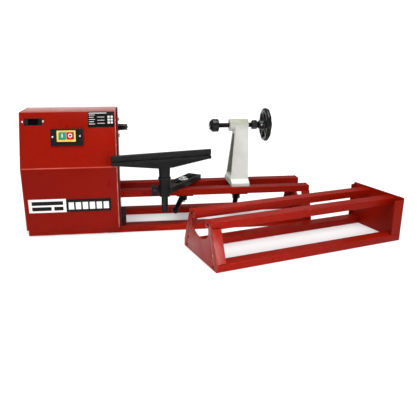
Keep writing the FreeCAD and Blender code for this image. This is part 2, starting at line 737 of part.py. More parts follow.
def banjo():
    thick = "banjo_top - bed_top - slide_gap"
    bar = box("banjo_end", "banjo_wide", thick, 0, "0 - banjo_wide / 2", REST_LOW)
    slot = along_bar(slot_shape("slot_start + slot_wide / 2", "slot_end - slot_wide / 2", "slot_wide / 2", 30),
                     "bed_top - 5")
    recess = along_bar(slot_shape("slot_start - 8 + recess_wide / 2", "slot_end + 8 - recess_wide / 2",
                                  "recess_wide / 2", 10), "banjo_top - recess_deep")
    boss = fuse(rod("socket_radius", "socket_top - socket_low", "post_x", "post_y", "socket_low"),
                rod("socket_radius + 2.5", 6, "post_x", "post_y", "socket_top - 6"))
    bar_body = along_bar(fuse(bar, box(22, 31, thick, 0, -15.5, REST_LOW)))
    whole = fuse(bar_body, boss)
    post_hole = rod("post_radius + sliding_gap", 80, "post_x", "post_y", "socket_low - 10")
    screw_hole = rod(4.05, 24, "post_x - 32", "post_y", "lock_z", "x")
    keep(cut(whole, slot, recess, post_hole, screw_hole), "banjo")
    grip = []
    for i in range(6):
        angle = math.radians(60 * i)
        grip.append(place(rod(4.6, 15, 0, 0, 0, "x"), 0, 12.6 * math.cos(angle), 12.6 * math.sin(angle)))
    hub = turned([(0, 11), (2, 14), (13, 14), (15, 11), (15, 8), (20.2, 8)])
    thread = turned([(20.2, 4), (26.3, 4)])
    keep(place(fuse(hub, thread, *grip), "post_x - socket_radius - 20.5", "post_y", "lock_z"), "banjo_lock_knob")


POST_LOW = 55
POST_TOP = 188


def tool_rest():
    keep(rod("post_radius", POST_TOP - POST_LOW, "post_x", "post_y", POST_LOW), "rest_post")
    half_left, half_right = 151, 136
    blade = prism("YZ", [[(-15.5, 202.5), (-3, 202.5), (-2, 206), (-4, "rest_top - 2"), (-6, "rest_top"),
                          (-13, "rest_top"), (-15.5, "rest_top - 2.5"), (-15.5, 216.5), (-12.5, 214.8),
                          (-12.5, 213.2), (-17.8, 211.5), (-17.8, 205)]], half_left + half_right)
    blade = place(blade, -half_left, 0, 0)
    gusset = prism("XZ", [[(-half_left + 3, 203.5), (-20, 186), (20, 186), (half_right - 3, 203.5),
                           (half_right - 3, 208), (-half_left + 3, 208)]], 11)
    gusset = place(gusset, 0, -5.5, 0)
    neck = [(157.3, 15.3), (184, 16.6), (190, 16.2), (203, 8)]
    stem = turned_up(neck)
    whole = fuse(blade, gusset, stem)
    bored = cut(whole, rod("post_radius + sliding_gap", 38.2, 0, 0, 150.2))
    keep(place(bored, "post_x", "post_y", 0, (0, 0, 1), "rest_angle"), "tool_rest")


def turned_up(stations):
    """A turned piece about Z, from (height, radius) stations."""
    body = doc.addObject("PartDesign::Body", "Body")
    sketch = sketch_in(body, "XZ")
    loop = [(0, stations[0][0])] + [(r, z) for z, r in stations] + [(0, stations[-1][0])]
    draw_loop(sketch, loop)
    spin = body.newObject("PartDesign::Revolution", "Revolution")
    spin.Profile = sketch
    spin.ReferenceAxis = (sketch, ["V_Axis"])
    spin.Angle = 360
    return body


BOLT_LOW = 56        # the bolts end just under their levers


def bed_clamp(prefix, at_x, bolt_top, lever_turn, head):
    """Bolt, clamp plate and lever that grip the bed rails from below."""
    bolt = rod("clamp_bolt_radius", "%s - %d" % (bolt_top, BOLT_LOW), at_x, 0, BOLT_LOW)
    if head:
        cap = rod(9, 5, at_x, 0, bolt_top)
        bolt = fuse(bolt, cap)
    keep(bolt, prefix + "_clamp_bolt")
    plate = box("clamp_long", "clamp_wide", "clamp_thick", "%s - clamp_long / 2" % at_x, "0 - clamp_wide / 2",
                BED_LOW + " - slide_gap - clamp_thick")
    guide = box("clamp_long", "2 * bed_rail_y - bed_rail_wide - 2", 12, "%s - clamp_long / 2" % at_x,
                "0 - bed_rail_y + bed_rail_wide / 2 + 1", BED_LOW + " - slide_gap")
    hole = rod("clamp_bolt_radius + 0.02", 60, at_x, 0, 70)
    keep(cut(fuse(plate, guide), hole), prefix + "_clamp_plate")

    hub = rod(12, 22, 0, 0, 62.5)
    end = Vector(40, 0, 38)
    start = Vector(6, 0, 72)
    run = end - start
    arm = doc.addObject("Part::Feature", "Arm")
    arm.Shape = Part.makeCone(8.5, 6.5, run.Length, start, run)
    knob = ball("lever_ball", end.x, 0, end.z)
    bore = rod("clamp_bolt_radius + sliding_gap", 40, 0, 0, BOLT_LOW - 1)
    whole = cut(fuse(hub, arm, knob), bore)
    keep(place(whole, at_x, 0, 0, (0, 0, 1), lever_turn), prefix + "_clamp_lever")


def rest_washer():
    ring = rod("recess_wide / 2 - 1", "washer_thick", "rest_bolt_x", 0, "banjo_top - recess_deep + slide_gap")
    keep(cut(ring, rod("clamp_bolt_radius + sliding_gap", 20, "rest_bolt_x", 0, 115)), "rest_washer")


# ---------------------------------------------------------------- tailstock

def tailstock():
    left = "tail_x - tail_wide / 2"
    foot_front, foot_back = -56, 54
    outline = [(foot_front, REST_LOW), (foot_back, REST_LOW), (foot_back, 122), (38, 132), (20, 276),
               ("tail_boss", "axis_z"), ("0 - tail_boss", "axis_z"), (-21, 276), (-38, 132), (foot_front, 122)]
    column = place(prism("YZ", [outline], "tail_wide"), left)
    taper = prism("XZ", [[(left + " - 5", 132), (left + " + 1", 132), (left + " + taper_top", 270),
                          (left + " + taper_top", 300), (left + " - 5", 300)]], 200)
    boss = rod("tail_boss", "tail_wide + 2", left + " - 1", 0, "axis_z", "x")
    pockets = []
    for at, length in ((left + " - 5", 29), ("tail_x + tail_wide / 2 - 15", 20)):
        pocket = prism("YZ", [[(-30, 140), (28, 140), (13, 256), (8, 263), (-9, 263), (-14, 256)]], length)
        pockets.append(place(pocket, at))
    bore = rod("screw_radius + sliding_gap", "tail_wide + 20", left + " - 10", 0, "axis_z", "x")
    bolt_hole = rod("clamp_bolt_radius + 0.02", 40, "tail_x", 0, 100)
    solid = fuse(cut(column, place(taper, 0, 100, 0)), boss)
    keep(cut(solid, *pockets, bore, bolt_hole), "tailstock_casting")

    case = turned([(0, 11), (2.5, 13.5), (8.5, "case_radius"), ("case_length - 2", "case_radius"),
                   ("case_length", "case_radius - 2")])
    seat = turned([(-1, 9), (12, 9)])
    back_hole = turned([("case_length - 10", "screw_radius + sliding_gap"), ("case_length + 1", "screw_radius + sliding_gap")])
    keep(place(cut(case, seat, back_hole), "case_left", 0, "axis_z"), "live_centre_case")
    cup = turned([(-1.5, 6), (0, 8.9), (11.5, 8.9)])
    dish = turned([(-3, 4.5), (-0.2, 4.5)])
    point = turned([(-2.6, 0.3), (0, 2)])
    keep(place(fuse(cut(cup, dish), point), "case_left", 0, "axis_z"), "live_centre_point")

    keep(place(turned([(0, 6.2), (0.8, "screw_radius"), (128, "screw_radius")]), "case_left + case_length - 9.5",
               0, "axis_z"), "tail_screw")
    nut = hexagon(14, 18.4)
    trim = turned([(0, 11), (3, 14.2), (14, 14.2), (18.4, 9.5)])
    nut_shape = doc.addObject("Part::Common", "Nut")
    nut_shape.Base = nut
    nut_shape.Tool = trim
    keep(place(cut(nut_shape, turned([(-1, "screw_radius + sliding_gap"), (20, "screw_radius + sliding_gap")])),
               "wheel_x - 42.6", 0, "axis_z"), "tail_lock_nut")


def hexagon(corner, length):
    points = []
    for i in range(6):
        angle = math.radians(60 * i + 30)
        points.append((round(corner * math.cos(angle), 4), round(corner * math.sin(angle), 4)))
    return prism("YZ", [points], length)


def handwheel():
    """A dished spoked wheel: hub, tapered spokes and a round rim."""
    hub = turned([(-23.5, 8), (-20, 13), (-5, 17), (12, 17), (18, 12.5)])
    rim = doc.addObject("Part::Torus", "Rim")
    bind(rim, "Radius1", "wheel_radius - rim_radius")
    bind(rim, "Radius2", "rim_radius")
    rim.Placement = Placement(Vector(), Rotation(Vector(0, 1, 0), 90))
    spokes = []
    for i in range(SPOKES):
        spoke = prism("XY", [[(-9, 10), (7, 10), (4.5, 43), (-4.5, 43)]], 13)
        spoke.Tip.Midplane = True
        spokes.append(place(spoke, 0, 0, 0, (1, 0, 0), 360 / SPOKES * i + 8))
    bore = turned([(-30, "screw_radius + 0.01"), (2.5, "screw_radius + 0.01")])
    keep(place(cut(fuse(hub, rim, *spokes), bore), "wheel_x", 0, "axis_z"), "handwheel")


# ---------------------------------------------------------------- assembly

def build():
    lathe_bed()
    headstock_casing()
    belt_door()
    front_controls()
    spindle_parts()
    drive_belt()
    motor_parts()
    banjo()
    tool_rest()
    rest_washer()
    bed_clamp("rest", "rest_bolt_x", "banjo_top - recess_deep + 2 * slide_gap + washer_thick", 227, True)
    tailstock()
    handwheel()
    bed_clamp("tail", "tail_x", "bed_top + 15", 250, False)
    extension_bed()


def check_document():
    broken = [t for t in doc.Objects if "Invalid" in t.State or "Error" in t.State]
    for thing in broken:
        print("not recomputed:", thing.Name, thing.Label, thing.getStatusString(), [o.Name for o in thing.OutList])
    if broken:
        raise SystemExit("the document has errors")
    for label, thing in nodes.items():
        if thing.Shape.isNull() or not thing.Shape.isValid() or not thing.Shape.Solids:
            raise SystemExit("%s has no valid solid" % label)


build()
doc.recompute()
check_document()
os.makedirs("parts", exist_ok=True)
for label, thing in nodes.items():
    thing.Shape.exportStep("parts/%s.step" % label)
    print("%-26s %d solid(s) %10.0f mm3" % (label, len(thing.Shape.Solids), thing.Shape.Volume))
print(len(nodes), "nodes")
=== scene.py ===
"""Studio looks for a bench wood lathe and its loose bed extension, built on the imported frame.

Lengths are in metres in the part's own frame: X along the bed, Y away from the operator, Z up.
"""

import json
import math

import bmesh
import bpy
from mathutils import Matrix, Vector


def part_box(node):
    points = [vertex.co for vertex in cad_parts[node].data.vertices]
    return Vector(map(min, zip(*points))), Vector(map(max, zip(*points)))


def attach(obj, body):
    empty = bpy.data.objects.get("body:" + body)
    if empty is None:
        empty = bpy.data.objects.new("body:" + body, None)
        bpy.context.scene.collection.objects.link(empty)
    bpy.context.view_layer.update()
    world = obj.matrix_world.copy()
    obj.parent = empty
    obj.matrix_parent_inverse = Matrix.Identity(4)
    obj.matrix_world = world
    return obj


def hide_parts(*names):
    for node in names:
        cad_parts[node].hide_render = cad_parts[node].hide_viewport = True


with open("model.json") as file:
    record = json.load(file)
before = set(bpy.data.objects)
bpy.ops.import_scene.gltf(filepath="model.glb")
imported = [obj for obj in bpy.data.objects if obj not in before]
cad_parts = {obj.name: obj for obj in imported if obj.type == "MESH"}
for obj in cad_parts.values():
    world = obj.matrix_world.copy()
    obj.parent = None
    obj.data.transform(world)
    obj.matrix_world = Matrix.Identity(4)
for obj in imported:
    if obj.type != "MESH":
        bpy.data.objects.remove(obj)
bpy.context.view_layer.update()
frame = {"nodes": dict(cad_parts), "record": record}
NODES = frame["nodes"]
BODY_OF = {node: body for body, members in frame["record"]["behaviour"]["bodies"].items()
           for node in members}
SLOT_OF = {entry["node"]: entry["material_slot"] for entry in frame["record"]["subparts"]}
MM = 0.001

# ---------------------------------------------------------------- camera, lights and floor

CAMERA_AT = Vector((-0.1355, -1.4244, 0.4859))
CAMERA_PITCH = -16.61       # degrees, looking down
CAMERA_YAW = 7.09           # degrees, towards the tailstock
LENS = 41.8                 # mm
SENSOR = 36                 # mm
SHIFT = (0.060, -0.0216)
NEAR_CLIP = 0.02

OVERHEAD = 3.6              # strength of the soft light from above
OVERHEAD_ANGLE = 50         # degrees that it spreads over
OVERHEAD_TILT = (12, -5)    # degrees about X and about Y
SOFTBOXES = (               # name, place, aim, width, watts and spread in degrees
    ("strip_right", (1.40, -2.00, 0.40), (0.06, -0.40, 0.06), 0.5, 0.46, 16),
    ("fill_left", (-2.0, -1.5, 1.2), (-0.2, 0.0, 0.15), 0.9, 3, 180),
    ("back", (0.9, 2.1, 1.5), (0.0, 0.0, 0.15), 1.2, 3, 180),
)
ROOM_SEEN = 1.08            # strength of the white room behind the object,
ROOM_LIGHT = 0.42           # as a source of light,
ROOM_MIRRORED = 0.20        # and in reflections

FLOOR_GREY = 0.74           # it is lit far enough to read as white
FLOOR_GLOW = 0.14           # keeps the shadows under the rails pale
FLOOR_REACH = 40
FLOOR_DROP = 0.4 * MM


def studio():
    link_camera()
    bpy.context.scene.view_settings.view_transform = "Standard"
    bpy.context.scene.world = white_room()
    overhead = bpy.data.lights.new("overhead", "SUN")
    overhead.energy = OVERHEAD
    overhead.angle = math.radians(OVERHEAD_ANGLE)
    about_x, about_y = OVERHEAD_TILT
    holder = bpy.data.objects.new("overhead", overhead)
    holder.rotation_euler = (math.radians(about_x), math.radians(about_y), 0)
    bpy.context.scene.collection.objects.link(holder)
    for box in SOFTBOXES:
        softbox(*box)
    lay_floor()


def link_camera():
    camera = bpy.data.cameras.new("camera")
    camera.lens = LENS
    camera.sensor_width = SENSOR
    camera.shift_x, camera.shift_y = SHIFT
    camera.clip_start = NEAR_CLIP
    holder = bpy.data.objects.new("camera", camera)
    holder.location = CAMERA_AT
    holder.rotation_euler = (math.radians(90 + CAMERA_PITCH), 0, math.radians(-CAMERA_YAW))
    bpy.context.scene.collection.objects.link(holder)
    bpy.context.scene.camera = holder


def softbox(name, at, towards, width, watts, spread):
    light = bpy.data.lights.new(name, "AREA")
    light.spread = math.radians(spread)
    light.shape = "DISK"
    light.size = width
    light.energy = watts
    holder = bpy.data.objects.new(name, light)
    holder.location = at
    aim = Vector(towards) - Vector(at)
    holder.rotation_euler = aim.to_track_quat("-Z", "Y").to_euler()
    bpy.context.scene.collection.objects.link(holder)


def lay_floor():
    sheet = bmesh.new()
    bmesh.ops.create_grid(sheet, x_segments=8, y_segments=8, size=FLOOR_REACH)
    floor = new_object("floor", sheet)
    floor.location.z = -FLOOR_DROP
    paint = Finish("floor_white", (FLOOR_GREY, FLOOR_GREY, FLOOR_GREY), 0.8, specular=0.1)
    paint.mottle(3.0, 0.01)
    paint.set("Emission Color", (1, 1, 1, 1))
    paint.set("Emission Strength", FLOOR_GLOW)
    floor.data.materials.append(paint.material)


def white_room():
    """White surroundings: full white behind the object, dimmer as a source of light and in reflections."""
    world = bpy.data.worlds.new("studio")
    world.use_nodes = True
    tree = world.node_tree
    ray = tree.nodes.new("ShaderNodeLightPath")
    mirrored = tree.nodes.new("ShaderNodeMapRange")
    mirrored.inputs["To Min"].default_value = ROOM_LIGHT
    mirrored.inputs["To Max"].default_value = ROOM_MIRRORED
    tree.links.new(ray.outputs["Is Glossy Ray"], mirrored.inputs["Value"])
    seen = tree.nodes.new("ShaderNodeMapRange")
    seen.inputs["To Max"].default_value = ROOM_SEEN
    tree.links.new(mirrored.outputs[0], seen.inputs["To Min"])
    tree.links.new(ray.outputs["Is Camera Ray"], seen.inputs["Value"])
    tree.nodes["Background"].inputs["Color"].default_value = (1.0, 1.0, 1.0, 1)
    tree.links.new(seen.outputs[0], tree.nodes["Background"].inputs["Strength"])
    return world


# ---------------------------------------------------------------- materials

COAT_ROUGHNESS = 0.1
# the colour sockets of a Mix node, which share their names with its number sockets
MIX_UNDER, MIX_OVER, MIX_RESULT = 6, 7, 2


class Finish:
    """One procedural material: a shader, and the noise that varies its colour, gloss and relief."""

    def __init__(self, name, colour, roughness, metallic=0.0, coat=0.0, specular=0.5):
        self.material = bpy.data.materials.new(name)
        self.material.use_nodes = True
        self.tree = self.material.node_tree
        self.shader = self.tree.nodes["Principled BSDF"]
        self.set("Base Color", (*colour, 1))
        self.set("Roughness", roughness)
        self.set("Metallic", metallic)
        self.set("Coat Weight", coat)
        self.set("Coat Roughness", COAT_ROUGHNESS)
        self.set("Specular IOR Level", specular)
        base = self.tree.nodes.new("ShaderNodeRGB")
        base.outputs[0].default_value = (*colour, 1)
        self.colour = base.outputs[0]
        self.place = self.tree.nodes.new("ShaderNodeTexCoord").outputs["Object"]
        self.normal = None

    def set(self, socket, value):
        self.shader.inputs[socket].default_value = value

    def noise(self, scale, stretch=(1, 1, 1), detail=3.0, rough=0.55):
        """Smooth noise, scale in cycles per metre, stretched along the axes."""
        mapping = self.tree.nodes.new("ShaderNodeMapping")
        mapping.inputs["Scale"].default_value = stretch
        self.tree.links.new(self.place, mapping.inputs["Vector"])
        node = self.tree.nodes.new("ShaderNodeTexNoise")
        node.inputs["Scale"].default_value = scale
        node.inputs["Detail"].default_value = detail
        node.inputs["Roughness"].default_value = rough
        self.tree.links.new(mapping.outputs[0], node.inputs["Vector"])
        return node.outputs["Fac"]

    def cells(self, scale):
        """Rounded cells, for hammered paint and cast skin."""
        node = self.tree.nodes.new("ShaderNodeTexVoronoi")
        node.feature = "SMOOTH_F1"
        node.inputs["Scale"].default_value = scale
        self.tree.links.new(self.place, node.inputs["Vector"])
        return node.outputs["Distance"]

    def rings(self, scale, axis):
        """Fine turning marks that circle an axis."""
        node = self.tree.nodes.new("ShaderNodeTexWave")
        node.bands_direction = axis
        node.inputs["Scale"].default_value = scale
        node.inputs["Distortion"].default_value = 0.6
        node.inputs["Detail"].default_value = 2.0
        node.inputs["Detail Scale"].default_value = 3.0
        self.tree.links.new(self.place, node.inputs["Vector"])
        return node.outputs["Fac"]

    def work(self, operation, *values):
        """Work out one sum, whose values are numbers or sockets."""
        node = self.tree.nodes.new("ShaderNodeMath")
        node.operation = operation
        for socket, value in zip(node.inputs, values):
            if isinstance(value, (int, float)):
                socket.default_value = value
            else:
                self.tree.links.new(value, socket)
        return node.outputs[0]

    def times(self, first, second):
        return self.work("MULTIPLY", first, second)

    def spread(self, fac, low, high, out_low=0.0, out_high=1.0):
        """Stretch part of a mask's range to another range, clamped."""
        node = self.tree.nodes.new("ShaderNodeMapRange")
        node.inputs["From Min"].default_value = low
        node.inputs["From Max"].default_value = high
        node.inputs["To Min"].default_value = out_low
        node.inputs["To Max"].default_value = out_high
        self.tree.links.new(fac, node.inputs["Value"])
        return node.outputs[0]

    def patches(self, scale, low, high, out_low=0.0, out_high=1.0, **texture):
        """A mask of soft patches: noise with part of its range stretched."""
        return self.spread(self.noise(scale, **texture), low, high, out_low, out_high)

    def mix(self, fac, colour):
        """Lay another colour over the base, where the mask is high."""
        node = self.tree.nodes.new("ShaderNodeMix")
        node.data_type = "RGBA"
        self.tree.links.new(fac, node.inputs["Factor"])
        self.tree.links.new(self.colour, node.inputs[MIX_UNDER])
        node.inputs[MIX_OVER].default_value = (*colour, 1)
        self.recolour(node.outputs[MIX_RESULT])

    def mottle(self, scale, amount, detail=4.0):
        """Make the colour a little lighter and darker in soft patches."""
        value = self.patches(scale, 0.3, 0.7, 1 - amount, 1 + amount, detail=detail)
        node = self.tree.nodes.new("ShaderNodeHueSaturation")
        self.tree.links.new(value, node.inputs["Value"])
        self.tree.links.new(self.colour, node.inputs["Color"])
        self.recolour(node.outputs[0])

    def recolour(self, socket):
        self.colour = socket
        self.tree.links.new(socket, self.shader.inputs["Base Color"])

    def gloss(self, fac, low, high):
        """Let a mask run the roughness between two values."""
        self.tree.links.new(self.spread(fac, 0.3, 0.7, low, high), self.shader.inputs["Roughness"])

    def relief(self, height, depth, strength):
        """Bump of a real depth in metres, over any that is there already."""
        node = self.tree.nodes.new("ShaderNodeBump")
        node.inputs["Distance"].default_value = depth
        node.inputs["Strength"].default_value = strength
        self.tree.links.new(height, node.inputs["Height"])
        if self.normal is not None:
            self.tree.links.new(self.normal, node.inputs["Normal"])
        self.normal = node.outputs[0]
        self.tree.links.new(self.normal, self.shader.inputs["Normal"])

    def edges(self, radius=1.5 * MM):
        """A mask that is high along the outer edges of the shape."""
        bevel = self.tree.nodes.new("ShaderNodeBevel")
        bevel.samples = 4
        bevel.inputs["Radius"].default_value = radius
        plain = self.tree.nodes.new("ShaderNodeNewGeometry")
        dot = self.tree.nodes.new("ShaderNodeVectorMath")
        dot.operation = "DOT_PRODUCT"
        self.tree.links.new(bevel.outputs[0], dot.inputs[0])
        self.tree.links.new(plain.outputs["Normal"], dot.inputs[1])
        return self.spread(dot.outputs["Value"], 0.985, 0.80)

    def rub_edges(self, radius, amount, colour):
        """Wear the outer edges to another colour, in patches."""
        patchy = self.times(self.edges(radius), self.patches(180.0, 0.35, 0.65, detail=5.0))
        self.mix(self.times(patchy, amount), colour)

    def along(self, axis):
        """The place along an axis, in metres."""
        return self.part(self.place, axis)

    def facing(self, axis):
        """How far the surface faces along an axis, from -1 to 1."""
        plain = self.tree.nodes.new("ShaderNodeNewGeometry")
        return self.part(plain.outputs["Normal"], axis)

    def part(self, vector, axis):
        node = self.tree.nodes.new("ShaderNodeSeparateXYZ")
        self.tree.links.new(vector, node.inputs[0])
        return node.outputs[axis]

    def tops(self):
        """A mask of the faces that look straight up."""
        return self.spread(self.facing("Z"), 0.90, 0.99)


COVER_END = -157.7 * MM     # the right end of the headstock casing's sheet, short of the end plate's face
FOLD_HEIGHT = 196.8 * MM    # the crease across the headstock's front

RED = (0.245, 0.0062, 0.0012)
# paler edges: chipped paint and painted highlight
CHIP_AND_HIGHLIGHT_RED = (0.52, 0.10, 0.075)
SCUFFED_RED = (0.38, 0.035, 0.02)
RUBBED_RED = (0.115, 0.0060, 0.0040)
# painted shade for the casing under its crease
LOWER_PAINTED_SHADE = (0.13, 0.0030, 0.0008)
# painted highlight along the casing's crease
CREASE_HIGHLIGHT_RED = (0.58, 0.10, 0.07)
# painted highlight at the casing's right end
END_HIGHLIGHT_PINK = (0.60, 0.30, 0.25)
# dust, and a painted sheen on the casing's top
DUST_AND_SHEEN_PINK = (0.60, 0.40, 0.37)


def red_enamel(name, colour, edge_wear_and_highlight=0.35, streaks=0.0, fold=None, specular=0.06):
    """Sprayed enamel on sheet steel: orange peel, soft patches, paler edges and faint wiping marks.

    streaks is how far tools have rubbed the faces that look up. fold is the height of a pressed crease, for
    the headstock's casing.
    """
    paint = Finish(name, colour, 0.34, specular=specular)
    paint.mottle(5.0, 0.08)
    paint.mottle(60.0, 0.035, detail=6.0)
    # the outer edges paler in patches: chipped paint, and a painted highlight along folds and edges
    chips_and_highlights = paint.times(paint.edges(), paint.patches(220.0, 0.40, 0.60, 0.35, 1.0, detail=5.0))
    paint.mix(paint.times(chips_and_highlights, edge_wear_and_highlight), CHIP_AND_HIGHLIGHT_RED)
    scuffs = paint.patches(34.0, 0.56, 0.80, 0.0, 0.10, stretch=(1.0, 4.0, 4.0), detail=7.0, rough=0.7)
    paint.mix(scuffs, SCUFFED_RED)
    if streaks:
        rubbed = paint.patches(9.0, 0.36, 0.70, streaks * 0.5, streaks,
                               stretch=(1.0, 60.0, 60.0), detail=6.0, rough=0.65)
        paint.mix(paint.times(rubbed, paint.tops()), RUBBED_RED)
    if fold:
        paint_light_and_dust_on_cover(paint, fold)
    paint.gloss(paint.noise(18.0, detail=6.0), 0.26, 0.44)
    paint.relief(paint.noise(420.0, detail=2.0), 0.00012, 0.5)
    paint.relief(paint.noise(7.0, detail=1.0), 0.0018, 0.35)
    return paint.material


def paint_light_and_dust_on_cover(paint, fold):
    """Painted shade under the crease, dust and painted sheen on top, painted highlights at crease and end.
    """
    # painted shade: the panel under the crease is darkened, as if it faced away from the light
    below = paint.spread(paint.along("Z"), fold, fold - 4 * MM, 0.0, 0.52)
    paint.mix(below, LOWER_PAINTED_SHADE)
    # dust on the top, with a painted sheen that grows towards the back
    dust_sheen_mask = paint.patches(22.0, 0.3, 0.7, 0.72, 0.92, detail=6.0)
    dust_sheen_mask = paint.times(dust_sheen_mask, paint.spread(paint.along("Y"), -60 * MM, 60 * MM, 0.30, 1.0))
    paint.mix(paint.times(dust_sheen_mask, paint.tops()), DUST_AND_SHEEN_PINK)
    # painted highlight: a pale line along the crease
    away = paint.work("ABSOLUTE", paint.work("SUBTRACT", paint.along("Z"), fold))
    crease_highlight = paint.times(paint.spread(away, 2.0 * MM, 0.8 * MM), paint.patches(14.0, 0.3, 0.6, 0.5, 0.9))
    paint.mix(crease_highlight, CREASE_HIGHLIGHT_RED)
    # painted highlight: a pale strip, in patches, at the casing's right edge
    patchy = paint.patches(40.0, 0.35, 0.60, 0.25, 0.85, stretch=(1.0, 1.0, 0.5), detail=5.0)
    at_end = paint.spread(paint.along("X"), COVER_END - 2.4 * MM, COVER_END - 1.6 * MM)
    paint.mix(paint.times(patchy, at_end), END_HIGHLIGHT_PINK)


def dark_enamel():
    paint = Finish("dark_enamel", (0.030, 0.0032, 0.0020), 0.50, specular=0.08)
    paint.mottle(14.0, 0.20)
    paint.mix(paint.times(paint.edges(), 0.4), (0.16, 0.09, 0.08))
    paint.gloss(paint.noise(30.0, detail=5.0), 0.36, 0.56)
    paint.relief(paint.noise(420.0), 0.00012, 0.5)
    return paint.material


def cast_black():
    """Satin black over sand-cast iron, rubbed grey on its corners."""
    paint = Finish("cast_black", (0.0085, 0.0085, 0.009), 0.42, specular=0.13)
    paint.mottle(25.0, 0.30)
    paint.rub_edges(1.2 * MM, 0.5, (0.07, 0.07, 0.073))
    paint.gloss(paint.noise(60.0, detail=6.0), 0.34, 0.55)
    paint.relief(paint.noise(650.0, detail=3.0), 0.00022, 0.7)
    paint.relief(paint.cells(240.0), 0.00018, 0.35)
    return paint.material


def wheel_black():
    """Thicker, glossier black on the handwheel, the lock nut and the live centre."""
    paint = Finish("wheel_black", (0.0070, 0.0070, 0.0074), 0.26, specular=0.32)
    paint.mottle(25.0, 0.30)
    paint.rub_edges(1.2 * MM, 0.6, (0.10, 0.10, 0.105))
    paint.gloss(paint.noise(60.0, detail=6.0), 0.18, 0.36)
    paint.relief(paint.noise(380.0, detail=2.0), 0.00020, 0.6)
    return paint.material


# painted shade on the tailstock's rounded crown
CROWN = (287.0 * MM, 297.5 * MM)    # heights between which the tailstock's paint turns olive
FOOT = (146.0 * MM, 128.0 * MM)     # and those between which its left side turns green


def tail_hammer():
    """Pale hammered tailstock paint, olive painted shade on its crown, and greener where sparse at the foot.
    """
    paint = Finish("tail_hammer", (0.62, 0.635, 0.595), 0.42, specular=0.35)
    paint.mottle(22.0, 0.05, detail=6.0)
    paint.mix(paint.patches(70.0, 0.60, 0.80, 0.0, 0.25, detail=7.0), (0.50, 0.53, 0.47))
    # painted shade: a darker olive band over the rounded crown
    paint.mix(paint.spread(paint.along("Z"), *CROWN, 0.0, 0.90), (0.31, 0.32, 0.23))
    side = paint.spread(paint.facing("X"), -0.3, -0.9)
    paint.mix(paint.times(paint.spread(paint.along("Z"), *FOOT), side), (0.42, 0.56, 0.43))
    paint.mix(paint.times(paint.edges(), 0.30), (0.80, 0.80, 0.74))
    paint.gloss(paint.noise(40.0, detail=5.0), 0.34, 0.52)
    paint.relief(paint.cells(330.0), 0.00020, 0.5)
    paint.relief(paint.noise(30.0, detail=3.0), 0.0009, 0.5)
    return paint.material


def recess_painted_shade():
    """Dull, darker paint inside the tailstock's pockets, as painted shade."""
    paint = Finish("recess_painted_shade", (0.26, 0.275, 0.225), 0.62, specular=0.15)
    paint.mottle(26.0, 0.18, detail=6.0)
    paint.mix(paint.patches(120.0, 0.60, 0.82, 0.0, 0.35, detail=6.0), (0.34, 0.37, 0.30))
    paint.gloss(paint.noise(50.0, detail=5.0), 0.52, 0.72)
    paint.relief(paint.cells(330.0), 0.00020, 0.5)
    return paint.material


def turned(name, colour, roughness, rings=2600.0, axis="X"):
    """Lathe-turned metal with fine circular marks."""
    metal = Finish(name, colour, roughness, metallic=1.0)
    metal.mottle(40.0, 0.12)
    metal.gloss(metal.noise(90.0, detail=5.0), roughness - 0.07, roughness + 0.10)
    metal.relief(metal.rings(rings, axis), 0.00003, 0.6)
    metal.relief(metal.noise(900.0), 0.00002, 0.4)
    return metal.material


def zinc():
    """Bright zinc plate."""
    metal = Finish("zinc", (0.62, 0.62, 0.60), 0.28, metallic=1.0)
    metal.mottle(120.0, 0.10)
    metal.gloss(metal.noise(260.0, detail=5.0), 0.16, 0.36)
    metal.relief(metal.noise(1200.0), 0.00003, 0.5)
    return metal.material


def zinc_dull():
    """Zinc plate gone even and satin with handling."""
    metal = Finish("zinc_dull", (0.60, 0.61, 0.58), 0.42, metallic=0.65)
    metal.mottle(90.0, 0.08)
    metal.gloss(metal.noise(260.0, detail=5.0), 0.36, 0.50)
    metal.relief(metal.noise(1200.0), 0.00003, 0.4)
    return metal.material


def plastic(name, colour, roughness, grain=700.0, depth=0.00010, coat=0.0, specular=0.3):
    """Moulded plastic with a fine spark-eroded grain and lighter rubbed edges."""
    stuff = Finish(name, colour, roughness, coat=coat, specular=specular)
    stuff.mottle(45.0, 0.08)
    light = tuple(min(1.0, channel * 1.6 + 0.03) for channel in colour)
    stuff.mix(stuff.times(stuff.edges(0.8 * MM), 0.35), light)
    stuff.gloss(stuff.noise(120.0, detail=5.0), roughness - 0.05, roughness + 0.10)
    stuff.relief(stuff.noise(grain, detail=2.0), depth, 0.6)
    return stuff.material


def film(name, colour, specular=0.3):
    """Printed polyester film: slight ripple, scuffs and dirt."""
    sheet = Finish(name, colour, 0.32, specular=specular)
    sheet.mottle(30.0, 0.03)
    scuffs = sheet.patches(60.0, 0.62, 0.84, 0.0, 0.10, stretch=(1.0, 7.0, 7.0), detail=7.0, rough=0.7)
    sheet.mix(scuffs, (0.42, 0.41, 0.40))
    sheet.relief(sheet.noise(80.0), 0.00010, 0.5)
    return sheet.material


def belt_rubber():
    stuff = Finish("belt_rubber", (0.016, 0.016, 0.016), 0.70)
    stuff.mottle(60.0, 0.25)
    stuff.mix(stuff.patches(200.0, 0.58, 0.80, 0.0, 0.4, detail=6.0), (0.07, 0.07, 0.07))
    stuff.relief(stuff.noise(800.0), 0.00010, 0.7)
    return stuff.material


